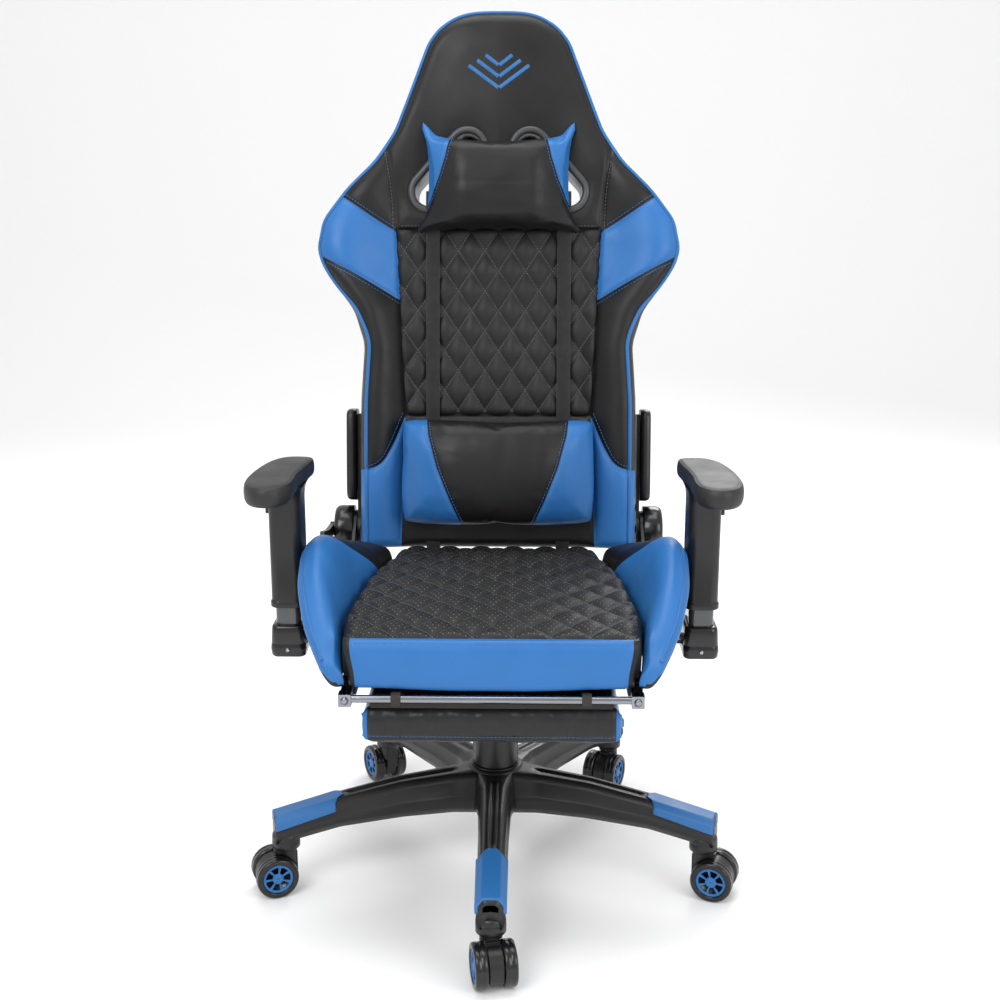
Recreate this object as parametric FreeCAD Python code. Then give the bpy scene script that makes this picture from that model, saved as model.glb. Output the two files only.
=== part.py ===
import FreeCAD, Part
import math
import os

from FreeCAD import Vector

# Racing-style swivel chair. Millimetres, +Z up, front towards -Y, +X to the sitter's left.
# Everything is drawn about the gas column's axis, then moved so that the origin lies
# on the floor under the middle of the whole chair.
COLUMN_BACK = 12.6           # the gas column stands this far in front of the chair's middle

# Base and casters
LEGS = 5
CASTER_CIRCLE_R = 315.0      # caster stems from the column axis
WHEEL_R = 30.0
WHEEL_WIDTH = 17.0
WHEEL_GAP = 21.0             # between the two wheels of one caster
TRAIL = 18.0                 # axle behind the stem
STEM_R = 5.5
AXLE_R = 4.0
AXLE_HALF = 23.0             # half the axle's length
RUNNING = 0.05               # radial clearance of every running fit
BOSS_BOTTOM = 67.0
CASTER_TURN = (-78.0, -21.0, 245.0, 120.0, 201.0)   # way each caster trails, degrees from +X
CASTER_NAMES = ("front", "left", "rear_left", "rear_right", "right")

# Gas lift
TUBE_R = 25.0
CYLINDER_R = 14.0
ROD_R = 5.0
HUB_TOP = 151.0
COVER_BOTTOM = 155.0         # the dust covers telescope with the lift
COVER_FLANGE = 2.5
COVER_TOP = 296.5
TUBE_TOP = 290.0

# Seat
SEAT_FRONT = -276.0
SEAT_REAR = 184.0
CUSHION_BOTTOM = 393.0
FRAME_TOP = 392.0
FRAME_BOTTOM = 372.0
TILT_AXIS = (-32.0, 333.0)   # y, z of the rocking axis
PLATE_TOP = FRAME_BOTTOM

# Backrest: a plane that leans back from the rear of the seat
BACK_FOOT = (194.0, 430.5)   # y, z of the front surface's lowest point
BACK_LEAN = 9.33             # degrees
BACK_LENGTH = 832.0
FOAM = 45.0                  # front cushion's thickness
SHELL_REAR = 88.0            # front surface to the back of the chair
PIVOT_T = 55.0               # recline axis: behind the front surface
PIVOT_S = 24.0               # and above the backrest's foot
BRACKET_X = 221.0
PLATE = 5.0

# Armrests
ARM_X = 287.0
ARM_Y = -59.0
PAD_TOP = 619.0
PAD_THICK = 23.0

# Footrest
RAIL_X = 184.0
RAIL = 14.0
RAIL_Z = 368.0
BAR_Y = -277.0

UP = Vector(0, 0, 1)
ALONG_X = Vector(1, 0, 0)
ALONG_Y = Vector(0, 1, 0)


def box(x0, x1, y0, y1, z0, z1):
    return Part.makeBox(x1 - x0, y1 - y0, z1 - z0, Vector(x0, y0, z0))


def rod(radius, length, start, direction=UP):
    return Part.makeCylinder(radius, length, Vector(*start), direction)


def tube(outer, inner, length, start, direction=UP):
    return rod(outer, length, start, direction).cut(rod(inner, length, start, direction))


def polygon(points):
    corners = [Vector(*p) for p in points]
    return Part.makePolygon(corners + [corners[0]])


def prism(points, along):
    return Part.Face(polygon(points)).extrude(Vector(*along))


def loft(sections):
    return Part.makeLoft([polygon(s) for s in sections], True, True)


def rounded(half_x, half_y, radius, z0, z1, x=0.0, y=0.0):
    """An upright bar with a rounded rectangle for its section."""
    bar = box(x - half_x, x + half_x, y - half_y, y + half_y, z0, z1)
    upright = [e for e in bar.Edges if abs(e.tangentAt(e.FirstParameter).z) > 0.9]
    return bar.makeFillet(radius, upright)


def stadium(centre, half_length, radius, turn, t0, t1):
    """A bar along the backrest's depth with a slot-shaped section, in backrest coordinates."""
    a = math.radians(turn)
    step = Vector(math.cos(a), 0, math.sin(a)) * half_length
    mid = Vector(centre[0], t0, centre[1])
    ends = [Part.makeCylinder(radius, t1 - t0, mid + step * k, ALONG_Y) for k in (-1, 1)]
    side = Vector(-math.sin(a), 0, math.cos(a)) * radius
    corners = [mid - step - side, mid + step - side, mid + step + side, mid - step + side]
    middle = Part.Face(Part.makePolygon(corners + [corners[0]])).extrude(Vector(0, t1 - t0, 0))
    return middle.fuse(ends).removeSplitter()


def mirrored(shape):
    return shape.mirror(Vector(0, 0, 0), ALONG_X)


def both(shape):
    """The shape and its mirror image on the other side of the chair."""
    return [shape, mirrored(shape)]


def turned(shape, degrees, centre=(0, 0, 0), axis=UP):
    copy = shape.copy()
    copy.rotate(Vector(*centre), axis, degrees)
    return copy


def on_back(shape):
    """Backrest coordinates (x, depth behind the front surface, height up the back) to the chair's."""
    copy = turned(shape, -BACK_LEAN, axis=ALONG_X)
    copy.translate(Vector(0, BACK_FOOT[0], BACK_FOOT[1]))
    return copy


def back_point(t, s):
    lean = math.radians(BACK_LEAN)
    y = BACK_FOOT[0] + t * math.cos(lean) + s * math.sin(lean)
    z = BACK_FOOT[1] - t * math.sin(lean) + s * math.cos(lean)
    return y, z


def solids_of(shapes):
    return [solid for shape in shapes for solid in shape.Solids]


def save(name, *shapes):
    part = Part.makeCompound(solids_of(shapes))
    part.translate(Vector(0, -COLUMN_BACK, 0))
    if not part.isValid():
        print("INVALID", name)
    part.exportStep(f"parts/{name}.step")
    print(f"{name}: {len(part.Solids)} solid(s), {part.Volume / 1000:.1f} cm3")


# ---------------------------------------------------------------- base

LEG_STATIONS = ((20.0, 23.0, 152.0, 88.0), (70.0, 23.0, 151.0, 91.0), (146.0, 21.5, 148.0, 94.0),
                (237.0, 20.0, 136.0, 92.0), (331.0, 19.0, 119.0, 77.0))    # radius, half width, top, bottom
BEVEL = 8.0
CAP_INNER = 230.0
CAP_OUTER = 333.5
CAP_WALL = 2.0


def leg_height(radius, column):
    """Top (column 2) or bottom (column 3) of the leg at a radius."""
    for low, high in zip(LEG_STATIONS, LEG_STATIONS[1:]):
        if radius <= high[0] or high is LEG_STATIONS[-1]:
            share = (radius - low[0]) / (high[0] - low[0])
            return low[column] + share * (high[column] - low[column])


def leg_section(radius, half, top, bottom, bevel=BEVEL):
    return [(radius, y, z) for y, z in (
        (-half * 0.8, bottom), (half * 0.8, bottom), (half, bottom + 10), (half, top - bevel),
        (half - bevel, top), (bevel - half, top), (-half, top - bevel), (-half, bottom + 10))]


def straight_leg():
    return loft([leg_section(*station) for station in LEG_STATIONS])


def leg_hollow():
    wall = 4.0
    stations = [(r, h - wall, top - wall - 2, bottom - 1) for r, h, top, bottom in LEG_STATIONS[1:4]]
    stations.append((288.0, 15.0, 122.0, 80.0))
    return loft([[(r, -h, b), (r, h, b), (r, h, t - BEVEL), (r, h - BEVEL, t), (r, BEVEL - h, t),
                  (r, -h, t - BEVEL)] for r, h, t, b in stations])


def leg_groove():
    depth = 3.0
    half = 4.0
    return loft([[(r, -half, top - depth), (r, half, top - depth), (r, half, top + 5), (r, -half, top + 5)]
                 for r, top in ((62.0, 151.2), (146.0, 148.0), (226.0, 137.4))])


def base_star():
    leg = straight_leg().fuse(rod(20.0, 48.0, (CASTER_CIRCLE_R, 0, BOSS_BOTTOM)))
    leg = leg.common(box(0, CAP_OUTER - CAP_WALL, -30, 30, 0, 200))
    leg = leg.cut(leg_hollow()).cut(leg_groove())
    leg = leg.cut(rod(STEM_R + RUNNING, 41.0, (CASTER_CIRCLE_R, 0, BOSS_BOTTOM)))
    hub = rod(42.0, HUB_TOP - 88.0, (0, 0, 88.0)).fuse(Part.makeCone(42, 37, 4, Vector(0, 0, HUB_TOP)))
    star = hub.fuse([turned(leg, -90 + 360 / LEGS * i) for i in range(LEGS)])
    return star.cut(rod(TUBE_R, 100.0, (0, 0, 80.0))).removeSplitter()


def leg_cap():
    ends = ((CAP_INNER, 20.1, 101.0), (CAP_OUTER, 19.0, 91.0))    # radius, half width, bottom
    wide = [(r, half + CAP_WALL, leg_height(r, 2) + CAP_WALL, bottom) for r, half, bottom in ends]
    bevel = BEVEL + 1
    outside = loft([[(r, -h, b), (r, h, b), (r, h, t - bevel), (r, h - bevel, t), (r, bevel - h, t),
                     (r, -h, t - bevel)] for r, h, t, b in wide])
    inside = straight_leg().common(box(0, CAP_OUTER - CAP_WALL, -30, 30, 0, 200))
    inside = inside.fuse(rod(20.0, 48.0, (CASTER_CIRCLE_R, 0, BOSS_BOTTOM)))
    return max(outside.cut(inside).Solids, key=lambda piece: piece.Volume)


def make_base():
    save("base_star", base_star())
    cap = leg_cap()
    save("leg_caps", *[turned(cap, -90 + 360 / LEGS * i) for i in range(LEGS)])
    wall = tube(TUBE_R, 23.2, TUBE_TOP - 87.0, (0, 0, 87.0))
    floor = tube(23.2, ROD_R + RUNNING, 5.0, (0, 0, 87.0))
    guide = tube(23.1, CYLINDER_R + RUNNING, 61.0, (0, 0, TUBE_TOP - 62.0))
    save("gas_lift_tube", wall.fuse(floor), guide)
    sleeve = tube(30.0, 28.0, 90.0, (0, 0, COVER_BOTTOM))
    flange = tube(36.0, 28.0, COVER_FLANGE, (0, 0, COVER_BOTTOM))
    save("dust_cover_lower", sleeve.fuse(flange).removeSplitter())


# ---------------------------------------------------------------- casters

def caster_fork():
    """Hood, stem and axle of a caster that trails along +X from its stem."""
    half = WHEEL_GAP / 2 - 1.5
    hood = rod(WHEEL_R - 3.0, 2 * half, (TRAIL, -half, WHEEL_R), ALONG_Y)
    hood = hood.fuse(box(-14, TRAIL, -half, half, WHEEL_R, 61.0))
    hood = hood.cut(box(-40, 60, -half, half, 0, 14.0))
    neck = rod(15.0, 20.0, (0, 0, 44.0)).common(box(-14, 20, -16, 16, 0, 80))
    neck = neck.cut(rod(WHEEL_R + 1.5, 60.0, (TRAIL, -30.0, WHEEL_R), ALONG_Y))
    body = hood.fuse([neck, rod(15.0, 4.5, (0, 0, 62.0))]).removeSplitter()
    stem = rod(STEM_R, 44.0, (0, 0, 60.0))
    axle = rod(AXLE_R, 2 * AXLE_HALF, (TRAIL, -AXLE_HALF, WHEEL_R), ALONG_Y)
    body = body.cut(stem).cut(axle)
    return body, stem, axle


def caster_wheel(side):
    """Tread with its web, and the spoked disc that covers its outer face."""
    inner = side * WHEEL_GAP / 2
    outer = inner + side * WHEEL_WIDTH
    out = Vector(0, side, 0)
    rim_r = 21.5
    tread = rod(WHEEL_R, WHEEL_WIDTH, (TRAIL, inner, WHEEL_R), out)
    ends = [e for e in tread.Edges if abs(e.Length - 2 * math.pi * WHEEL_R) < 0.1]
    tread = tread.makeFillet(2.5, ends)
    tread = tread.cut(rod(rim_r, 6.0, (TRAIL, outer - side * 5.0, WHEEL_R), out))
    bore = rod(AXLE_R + RUNNING, 18.0, (TRAIL, inner - side, WHEEL_R), out)
    tread = tread.cut(bore)
    disc = rod(rim_r - 0.05, 3.0, (TRAIL, outer - side * 4.0, WHEEL_R), out)
    corners = ((-2.5, 9.0), (2.5, 9.0), (5.0, 17.0), (-5.0, 17.0))
    window = prism([(TRAIL + x, outer - side * 6, WHEEL_R + z) for x, z in corners], (0, side * 8, 0))
    spokes = 7
    windows = [turned(window, 360 / spokes * i, (TRAIL, 0, WHEEL_R), ALONG_Y) for i in range(spokes)]
    disc = disc.cut(windows[0].fuse(windows[1:]))
    boss = Part.makeCone(7.5, 5.5, 2.0, Vector(TRAIL, outer - side, WHEEL_R), out)
    disc = disc.fuse(boss).removeSplitter()
    return tread, disc


def place_caster(shape, number):
    leg = math.radians(-90 + 360 / LEGS * number)
    moved = turned(shape, CASTER_TURN[number])
    moved.translate(Vector(CASTER_CIRCLE_R * math.cos(leg), CASTER_CIRCLE_R * math.sin(leg), 0))
    return moved


def make_casters():
    fork = caster_fork()
    wheels = {"wheel_a": caster_wheel(-1), "wheel_b": caster_wheel(1)}
    for number, place in enumerate(CASTER_NAMES):
        save(f"caster_{place}_fork", *[place_caster(s, number) for s in fork])
        for wheel, shapes in wheels.items():
            save(f"caster_{place}_{wheel}", *[place_caster(s, number) for s in shapes])


# ---------------------------------------------------------------- gas lift and mechanism

CYLINDER_BOTTOM = 100.0
CYLINDER_TOP = 340.0
VALVE_R = 3.0                # the pin that the height lever presses
HOUSING_X = 78.0
LEVER_X = -64.0              # the height lever's pin
LEVER_Z = 356.0
LEVER_LOW = 330.0            # the lever's outer run passes under the footrest channels
LEVER_PIN_R = 2.55
LOCK_TRAVEL = 7.0            # the lever pulls outwards to free the rocking


def make_lift():
    stem = rod(ROD_R, 165.0, (0, 0, 82.0))
    piston = tube(12.4, ROD_R, 14.0, (0, 0, 233.0))
    bearing = tube(13.0, ROD_R + 0.5, 5.0, (0, 0, 92.2))
    clip = tube(8.0, ROD_R, 2.0, (0, 0, 84.5))
    save("piston_rod", stem, piston, bearing, clip)
    skin = tube(CYLINDER_R, 12.5, CYLINDER_TOP - CYLINDER_BOTTOM, (0, 0, CYLINDER_BOTTOM))
    seal = tube(12.5, ROD_R + RUNNING, 4.0, (0, 0, CYLINDER_BOTTOM))
    head = rod(12.5, 20.0, (0, 0, 320.0)).fuse(rod(VALVE_R, 6.0, (0, 0, CYLINDER_TOP)))
    save("gas_cylinder", skin.fuse([seal, head]))
    low = COVER_BOTTOM + COVER_FLANGE + 1.0
    cover = tube(33.5, 31.5, COVER_TOP - low, (0, 0, low))
    cover = cover.fuse(tube(33.5, 24.2, COVER_FLANGE, (0, 0, COVER_TOP - COVER_FLANGE)))
    save("dust_cover_upper", cover.removeSplitter())


def make_mechanism():
    wall = 3.0
    side = [(HOUSING_X - wall, -92, 303), (HOUSING_X - wall, -92, 345), (HOUSING_X - wall, 0, 345),
            (HOUSING_X - wall, 85, 322), (HOUSING_X - wall, 85, 303)]
    cheek = prism(side, (wall, 0, 0))
    tray = box(-HOUSING_X, HOUSING_X, -92, 85, 300, 303)
    front = box(-HOUSING_X, HOUSING_X, -92, -92 + wall, 303, 330)
    rear = box(-HOUSING_X, HOUSING_X, 85 - wall, 85, 303, 322)
    socket = rod(24.0, 46.0, (0, 0, 297.0))
    housing = tray.fuse([front, rear, socket] + both(cheek))
    housing = housing.cut(rod(CYLINDER_R, 43.2, (0, 0, 296.8)))
    housing = housing.cut(rod(6.0, 200.0, (-100, *TILT_AXIS), ALONG_X))
    housing = housing.cut(rod(4.2, 10.0, (0, -70, 296)))
    housing = housing.cut(rod(VALVE_R + 0.3, 10.0, (0, 0, CYLINDER_TOP - 1)))
    ears = [box(-HOUSING_X + wall, LEVER_X + 8, y, y + wall, 303, LEVER_Z + 6) for y in (-9, 6)]
    housing = housing.fuse(ears)
    slot = rod(LEVER_PIN_R, 30, (LEVER_X, -15, LEVER_Z), ALONG_Y)
    slot = slot.fuse(rod(LEVER_PIN_R, 30, (LEVER_X - LOCK_TRAVEL, -15, LEVER_Z), ALONG_Y))
    low, high = LEVER_Z - LEVER_PIN_R, LEVER_Z + LEVER_PIN_R
    slot = slot.fuse(box(LEVER_X - LOCK_TRAVEL, LEVER_X, -15, 15, low, high))
    housing = housing.cut(slot)
    save("mechanism_housing", housing.removeSplitter())
    axle = rod(6.0, 180.0, (-90, *TILT_AXIS), ALONG_X)
    save("tilt_axle", axle)
    coils = [Part.makeTorus(13.0, 2.0, Vector(0, -70, 305.2 + 4.6 * i), UP) for i in range(5)]
    save("tilt_spring", *coils)
    grips = [turned(rod(3.0, 30.0, (22.0, -70, 260)), 45 * i, (0, -70, 0)) for i in range(8)]
    knob = rod(20.0, 26.0, (0, -70, 262))
    knob = knob.makeFillet(3.0, [e for e in knob.Edges if e.CenterOfMass.z < 263])
    knob = knob.cut(grips[0].fuse(grips[1:]))
    knob = knob.fuse(rod(12.0, 9.0, (0, -70, 288)))
    bolt = rod(4.0, 37.0, (0, -70, 297))
    save("tension_knob", knob, bolt)
    save("lever_pin", rod(LEVER_PIN_R - RUNNING, 22.0, (LEVER_X, -11, LEVER_Z), ALONG_Y))
    arm = box(-88, 4, -4, 4, LEVER_Z - 4, LEVER_Z + 4).fuse(box(-88, -80, -4, 4, LEVER_LOW - 4, LEVER_Z))
    arm = arm.fuse(rod(4.0, 121.0, (-205, 0, LEVER_LOW), ALONG_X))
    paddle = rounded(5.0, 14.0, 4.0, -218, -165, 0, 0)
    paddle = turned(paddle, 90, axis=ALONG_Y)
    paddle.translate(Vector(0, 0, LEVER_LOW))
    arm = arm.fuse(paddle).cut(rod(LEVER_PIN_R, 30, (LEVER_X, -15, LEVER_Z), ALONG_Y))
    save("height_lever", arm.removeSplitter())


def make_tilt_plate():
    plate = box(-100, 100, -105, 105, PLATE_TOP - 4, PLATE_TOP)
    ear = box(HOUSING_X + 0.6, HOUSING_X + 4.6, -52, -12, 320, PLATE_TOP - 3)
    plate = plate.fuse(both(ear))
    plate = plate.cut(rod(6.0 + RUNNING, 200.0, (-100, *TILT_AXIS), ALONG_X))
    holes = [rod(4.0, 10.0, (x, y, PLATE_TOP - 6)) for x in (-80, 80) for y in (-80, 80)]
    plate = plate.cut(box(-101, 12, -30, 40, PLATE_TOP - 5, PLATE_TOP + 1))
    save("tilt_plate", plate.cut(holes[0].fuse(holes[1:])))


# ---------------------------------------------------------------- seat

REAR_TUBE = (158.0, 178.0)


def hollow_bar(x0, x1, y0, y1, z0, z1, wall=2.0):
    w = wall
    return box(x0, x1, y0, y1, z0, z1).cut(box(x0 + w, x1 - w, y0 + w, y1 - w, z0 + w, z1 - w))


def make_seat_frame():
    side = hollow_bar(150, 170, -250, REAR_TUBE[1], FRAME_BOTTOM, FRAME_TOP)
    front = hollow_bar(-150, 150, -250, -230, FRAME_BOTTOM, FRAME_TOP)
    reach = BRACKET_X + PLATE + 1
    rear = hollow_bar(-reach, reach, *REAR_TUBE, FRAME_BOTTOM, FRAME_TOP)
    bars = [box(-152, 152, y - 15, y + 15, FRAME_BOTTOM, FRAME_BOTTOM + 5) for y in (-80, ARM_Y + 14, 80)]
    hangers = [box(165, 194, y - 15, y + 15, 377.6, 379.8) for y in (-200, -60, 40)]
    frame = rear.fuse([front] + both(side) + bars + hangers + [mirrored(h) for h in hangers])
    holes = [rod(4.0, 20.0, (x, y, 365)) for x in (-80, 80) for y in (-80, 80)]
    frame = frame.cut(holes[0].fuse(holes[1:]))
    save("seat_frame", frame.removeSplitter())
    bolts = [rod(4.0, 16.0, (x, y, PLATE_TOP - 6)).fuse(rod(7.0, 5.0, (x, y, PLATE_TOP - 9)))
             for x in (-80, 80) for y in (-80, 80)]
    save("seat_bolts", *bolts)


# y, half width, top
CUSHION_STATIONS = ((SEAT_FRONT, 181.0, 436.0), (-268.0, 188.0, 446.0), (-165.0, 199.0, 447.0),
                    (0.0, 187.0, 444.0), (100.0, 168.0, 441.0), (176.0, 150.0, 438.0),
                    (SEAT_REAR, 147.0, 431.0))


def cushion_section(y, half, top, bottom=CUSHION_BOTTOM):
    edge = 12.0
    return [(-half, y, bottom), (-half, y, top - edge), (edge - half, y, top - 2), (-half * 0.5, y, top),
            (half * 0.5, y, top), (half - edge, y, top - 2), (half, y, top - edge), (half, y, bottom)]


def half_width_at(y):
    for low, high in zip(CUSHION_STATIONS, CUSHION_STATIONS[1:]):
        if y <= high[0]:
            return low[1] + (y - low[0]) / (high[0] - low[0]) * (high[1] - low[1])
    return CUSHION_STATIONS[-1][1]


# y, then top edge (x, z), outermost (x, z), bottom outer x
BOLSTER_STATIONS = ((SEAT_FRONT, 206.0, 408.0, 212.0, 398.0, 200.0),
                    (-268.0, 209.0, 418.0, 217.0, 404.0, 202.0),
                    (-225.0, 226.0, 456.0, 240.0, 432.0, 214.0), (-165.0, 239.0, 500.0, 257.0, 468.0, 226.0),
                    (-105.0, 243.0, 524.0, 261.0, 488.0, 232.0), (-50.0, 245.0, 518.0, 262.0, 484.0, 234.0),
                    (0.0, 246.0, 504.0, 262.0, 474.0, 235.0), (20.0, 246.0, 498.0, 262.0, 470.0, 235.0),
                    (90.0, 236.0, 472.0, 252.0, 452.0, 230.0), (150.0, 214.0, 452.0, 222.0, 438.0, 212.0))
BOLSTER_BOTTOM = 381.0
GAP = 0.8                    # bolster to cushion
SIDE_TUBE_FROM = 90.0        # from here back the bolster stands above the frame's side tube


def bolster():
    sections = []
    for y, top_x, top_z, out_x, out_z, foot_x in BOLSTER_STATIONS:
        inner = half_width_at(y) + GAP
        bottom = BOLSTER_BOTTOM if y < SIDE_TUBE_FROM else FRAME_TOP + 1.2
        sections.append([(inner, y, bottom), (foot_x, y, bottom), (out_x, y, out_z),
                         (out_x - 4, y, (out_z + top_z) / 2 + 6), (top_x, y, top_z),
                         (top_x - 0.35 * (top_x - inner), y, top_z - 6),
                         (inner + 1, y, 434.0 if y < SIDE_TUBE_FROM else 426.0), (inner, y, 410.0)])
    for number, (shoulder, toe) in enumerate(((403.0, 396.0), (412.0, 400.0))):
        inner = sections[number][0][0]
        y = sections[number][0][1]
        sections[number][6] = (inner + 1, y, shoulder)
        sections[number][7] = (inner, y, toe)
    shape = loft(sections)
    slot = box(BRACKET_X + PLATE, BRACKET_X + 2 * PLATE + 2.5, 138, 170, 360, 480)
    return shape.cut(slot)


def make_seat_cushion():
    body = loft([cushion_section(*station) for station in CUSHION_STATIONS])
    skirt = box(-179, 179, SEAT_FRONT + 2, -252, 384, CUSHION_BOTTOM + 1)
    save("seat_cushion", body.fuse(skirt))
    save("seat_bolster_left", bolster())
    save("seat_bolster_right", mirrored(bolster()))


def make_hinge_plates():
    pivot = back_point(PIVOT_T, PIVOT_S)
    x = BRACKET_X + PLATE + 1.2
    outline = ((142, 373), (200, 373), (pivot[0] + 24, pivot[1] - 24), (pivot[0] - 10, pivot[1] + 28),
               (200, 440), (142, 396))
    web = prism([(x, y, z) for y, z in outline], (PLATE, 0, 0))
    ring = rod(30.0, PLATE, (x, *pivot), ALONG_X)
    plate = web.fuse(ring)
    pin = rod(6.0, 2 * PLATE + 7.0, (BRACKET_X - 2.0, *pivot), ALONG_X)
    plate = plate.fuse(pin).removeSplitter()
    save("seat_hinge_plates", *both(plate))
    cover = rod(38.0, 31.0, (x + PLATE, *pivot), ALONG_X)
    outer = [e for e in cover.Edges if e.CenterOfMass.x > x + PLATE + 20 and e.Length > 200]
    cover = cover.makeFillet(7.0, outer).cut(rod(33.0, 27.0, (x + PLATE, *pivot), ALONG_X))
    save("pivot_covers", *both(cover))


def make_recline_lever():
    pivot = back_point(PIVOT_T, PIVOT_S)
    x = BRACKET_X + 2 * PLATE + 33.2
    hub = rod(11.0, 8.0, (x, *pivot), ALONG_X)
    tip = 138 - pivot[0]
    outline = ((0, -9), (0, 9), (-60, 14), (tip, 26), (tip - 8, 18), (tip - 4, 9), (-60, -2))
    arm = prism([(x + 1, pivot[0] + y, pivot[1] + z) for y, z in outline], (7, 0, 0))
    save("recline_lever", mirrored(hub.fuse(arm).removeSplitter()))


# ---------------------------------------------------------------- armrests

SLEEVE = (22.0, 31.0)
POST = (17.5, 26.0)
SLEEVE_BOTTOM = 424.0
POST_FOOT = 370.0            # top of the bracket, where the post stands
BRACKET_LOW = 347.0
POST_TOP = 572.0
BUTTON_Z = 560.0


# half length in x and in y, height
COLLAR = ((24.0, 34.0, 353.0), (25.0, 35.0, 365.0), (22.5, 32.0, 398.0))


def cut_corners(half_x, half_y, z, corner=10.0):
    """A rectangle about the armrest's axis with its corners cut off."""
    turns = ((-1, -1, 1, 0), (1, -1, 1, 0), (1, -1, 0, 1), (1, 1, 0, 1), (1, 1, 1, 0), (-1, 1, 1, 0),
             (-1, 1, 0, 1), (-1, -1, 0, 1))
    return [(ARM_X + sx * (half_x - corner * cx), ARM_Y + sy * (half_y - corner * cy), z)
            for sx, sy, cx, cy in turns]


def arm_bracket():
    """Flat bar that passes under the footrest channel and steps up to carry the post."""
    y0, y1 = ARM_Y - 2, ARM_Y + 30
    low = BRACKET_LOW
    outward = box(196.0, ARM_X + 14, y0, y1, POST_FOOT - PLATE, POST_FOOT)
    joggle = box(196.0, 201.0, y0, y1, low, POST_FOOT)
    inward = box(120.0, 201.0, y0, y1, low, low + PLATE)
    riser = box(120.0, 146.0, y0, y1, low + PLATE, FRAME_BOTTOM)
    slot = rounded(16.0, 5.0, 4.8, POST_FOOT - 10, POST_FOOT + 10, 232.0, ARM_Y + 14)
    return outward.fuse([joggle, inward, riser]).cut(slot).removeSplitter()


def make_arms():
    save("arm_brackets", *both(arm_bracket()))
    solid = rounded(*POST, 10.0, POST_FOOT, POST_TOP, ARM_X, ARM_Y)
    post = solid.cut(rounded(POST[0] - 2.5, POST[1] - 2.5, 8.0, POST_FOOT + 4, POST_TOP + 8, ARM_X, ARM_Y))
    save("arm_posts", *both(post))
    collar = loft([cut_corners(*ring) for ring in COLLAR])
    collar = collar.cut(rounded(*POST, 10.0, POST_FOOT, 420, ARM_X, ARM_Y)).cut(arm_bracket())
    save("arm_collars", *both(max(collar.Solids, key=lambda piece: piece.Volume)))
    for name, flip in (("left", False), ("right", True)):
        for piece, shape in arm_top().items():
            save(f"arm_{piece}_{name}", mirrored(shape) if flip else shape)


PAD_OUTLINE = ((255, -8), (262, 6), (284, 10), (302, 2), (316, -24), (324, -60), (328, -100), (328, -140),
               (322, -168), (308, -187), (291, -192), (275, -185), (265, -166), (262, -140), (263, -108),
               (261, -76), (257, -42))


def arm_top():
    top = PAD_TOP - PAD_THICK
    sleeve = rounded(*SLEEVE, 12.0, SLEEVE_BOTTOM, top, ARM_X, ARM_Y)
    sleeve = sleeve.cut(rounded(POST[0] + 0.5, POST[1] + 0.5, 9.5, SLEEVE_BOTTOM - 1, top - 4, ARM_X, ARM_Y))
    outer = ARM_X + SLEEVE[0]
    button = rounded(8.0, 6.0, 4.0, 0.0, 6.4, 0, 0)
    window = rounded(8.5, 6.5, 4.4, -12.0, 8.0, 0, 0)
    for shape in (button, window):
        shape.rotate(Vector(0, 0, 0), ALONG_Y, 90)
        shape.translate(Vector(outer + 0.4, ARM_Y, BUTTON_Z))
    pad = prism([(x, y, top) for x, y in PAD_OUTLINE], (0, 0, PAD_THICK))
    rim = [e for e in pad.Edges if e.CenterOfMass.z > PAD_TOP - 0.1]
    pad = pad.makeChamfer(4.0, rim)
    return {"sleeve": sleeve.cut(window), "button": button, "pad": pad}


# ---------------------------------------------------------------- footrest

def make_footrest():
    wall = 2.0
    slack = 0.5
    inner = RAIL / 2 + slack
    outer = inner + wall
    channel = box(RAIL_X - outer, RAIL_X + outer, -240, 60, RAIL_Z - outer, RAIL_Z + outer)
    channel = channel.cut(box(RAIL_X - inner, RAIL_X + inner, -241, 61, RAIL_Z - inner, RAIL_Z + inner))
    save("footrest_channels", *both(channel))
    half = RAIL / 2
    bore = half - 1.5
    runner = box(RAIL_X - half, RAIL_X + half, -269, 55, RAIL_Z - half, RAIL_Z + half)
    runner = runner.cut(box(RAIL_X - bore, RAIL_X + bore, -266, 56, RAIL_Z - bore, RAIL_Z + bore))
    block = box(RAIL_X - 8, RAIL_X + 8, BAR_Y - 8, -269, RAIL_Z - 8, RAIL_Z + 8)
    bar = rod(5.0, 2 * RAIL_X - 16, (-RAIL_X + 8, BAR_Y, RAIL_Z), ALONG_X)
    save("footrest_slide", bar.fuse(both(runner) + both(block)).removeSplitter())
    lug = tube(9.0, 5.0 + RUNNING, 12.0, (114, BAR_Y, RAIL_Z), ALONG_X)
    strap = box(114, 126, BAR_Y + 4, BAR_Y + 40, RAIL_Z - 9, RAIL_Z - 5)
    lug = lug.fuse(strap.cut(rod(5.0 + RUNNING, 12.0, (114, BAR_Y, RAIL_Z), ALONG_X)))
    leaf = box(114, 126, BAR_Y + 12, BAR_Y + 60, 355.4, 359)
    riser = box(114, 126, BAR_Y + 36, BAR_Y + 40, 358, RAIL_Z - 5)
    board = box(-155, 155, BAR_Y + 16, -104, 349, 355.4)
    save("footrest_board", board.fuse(both(lug.fuse([leaf, riser]))).removeSplitter())
    y0, y1 = BAR_Y + 7.0, -96.0
    rows = []
    for x, inset in ((-169.0, 10.0), (-158.0, 0.0), (158.0, 0.0), (169.0, 10.0)):
        near, far = y0 + inset, y1 - inset
        low, high = 304 + inset / 2, 348.5 - inset / 2
        rows.append([(x, near, low + 12), (x, near + 14, low), (x, far - 14, low), (x, far, low + 12),
                     (x, far, high), (x, near, high)])
    save("footrest_pad", loft(rows))


# ---------------------------------------------------------------- backrest

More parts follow.
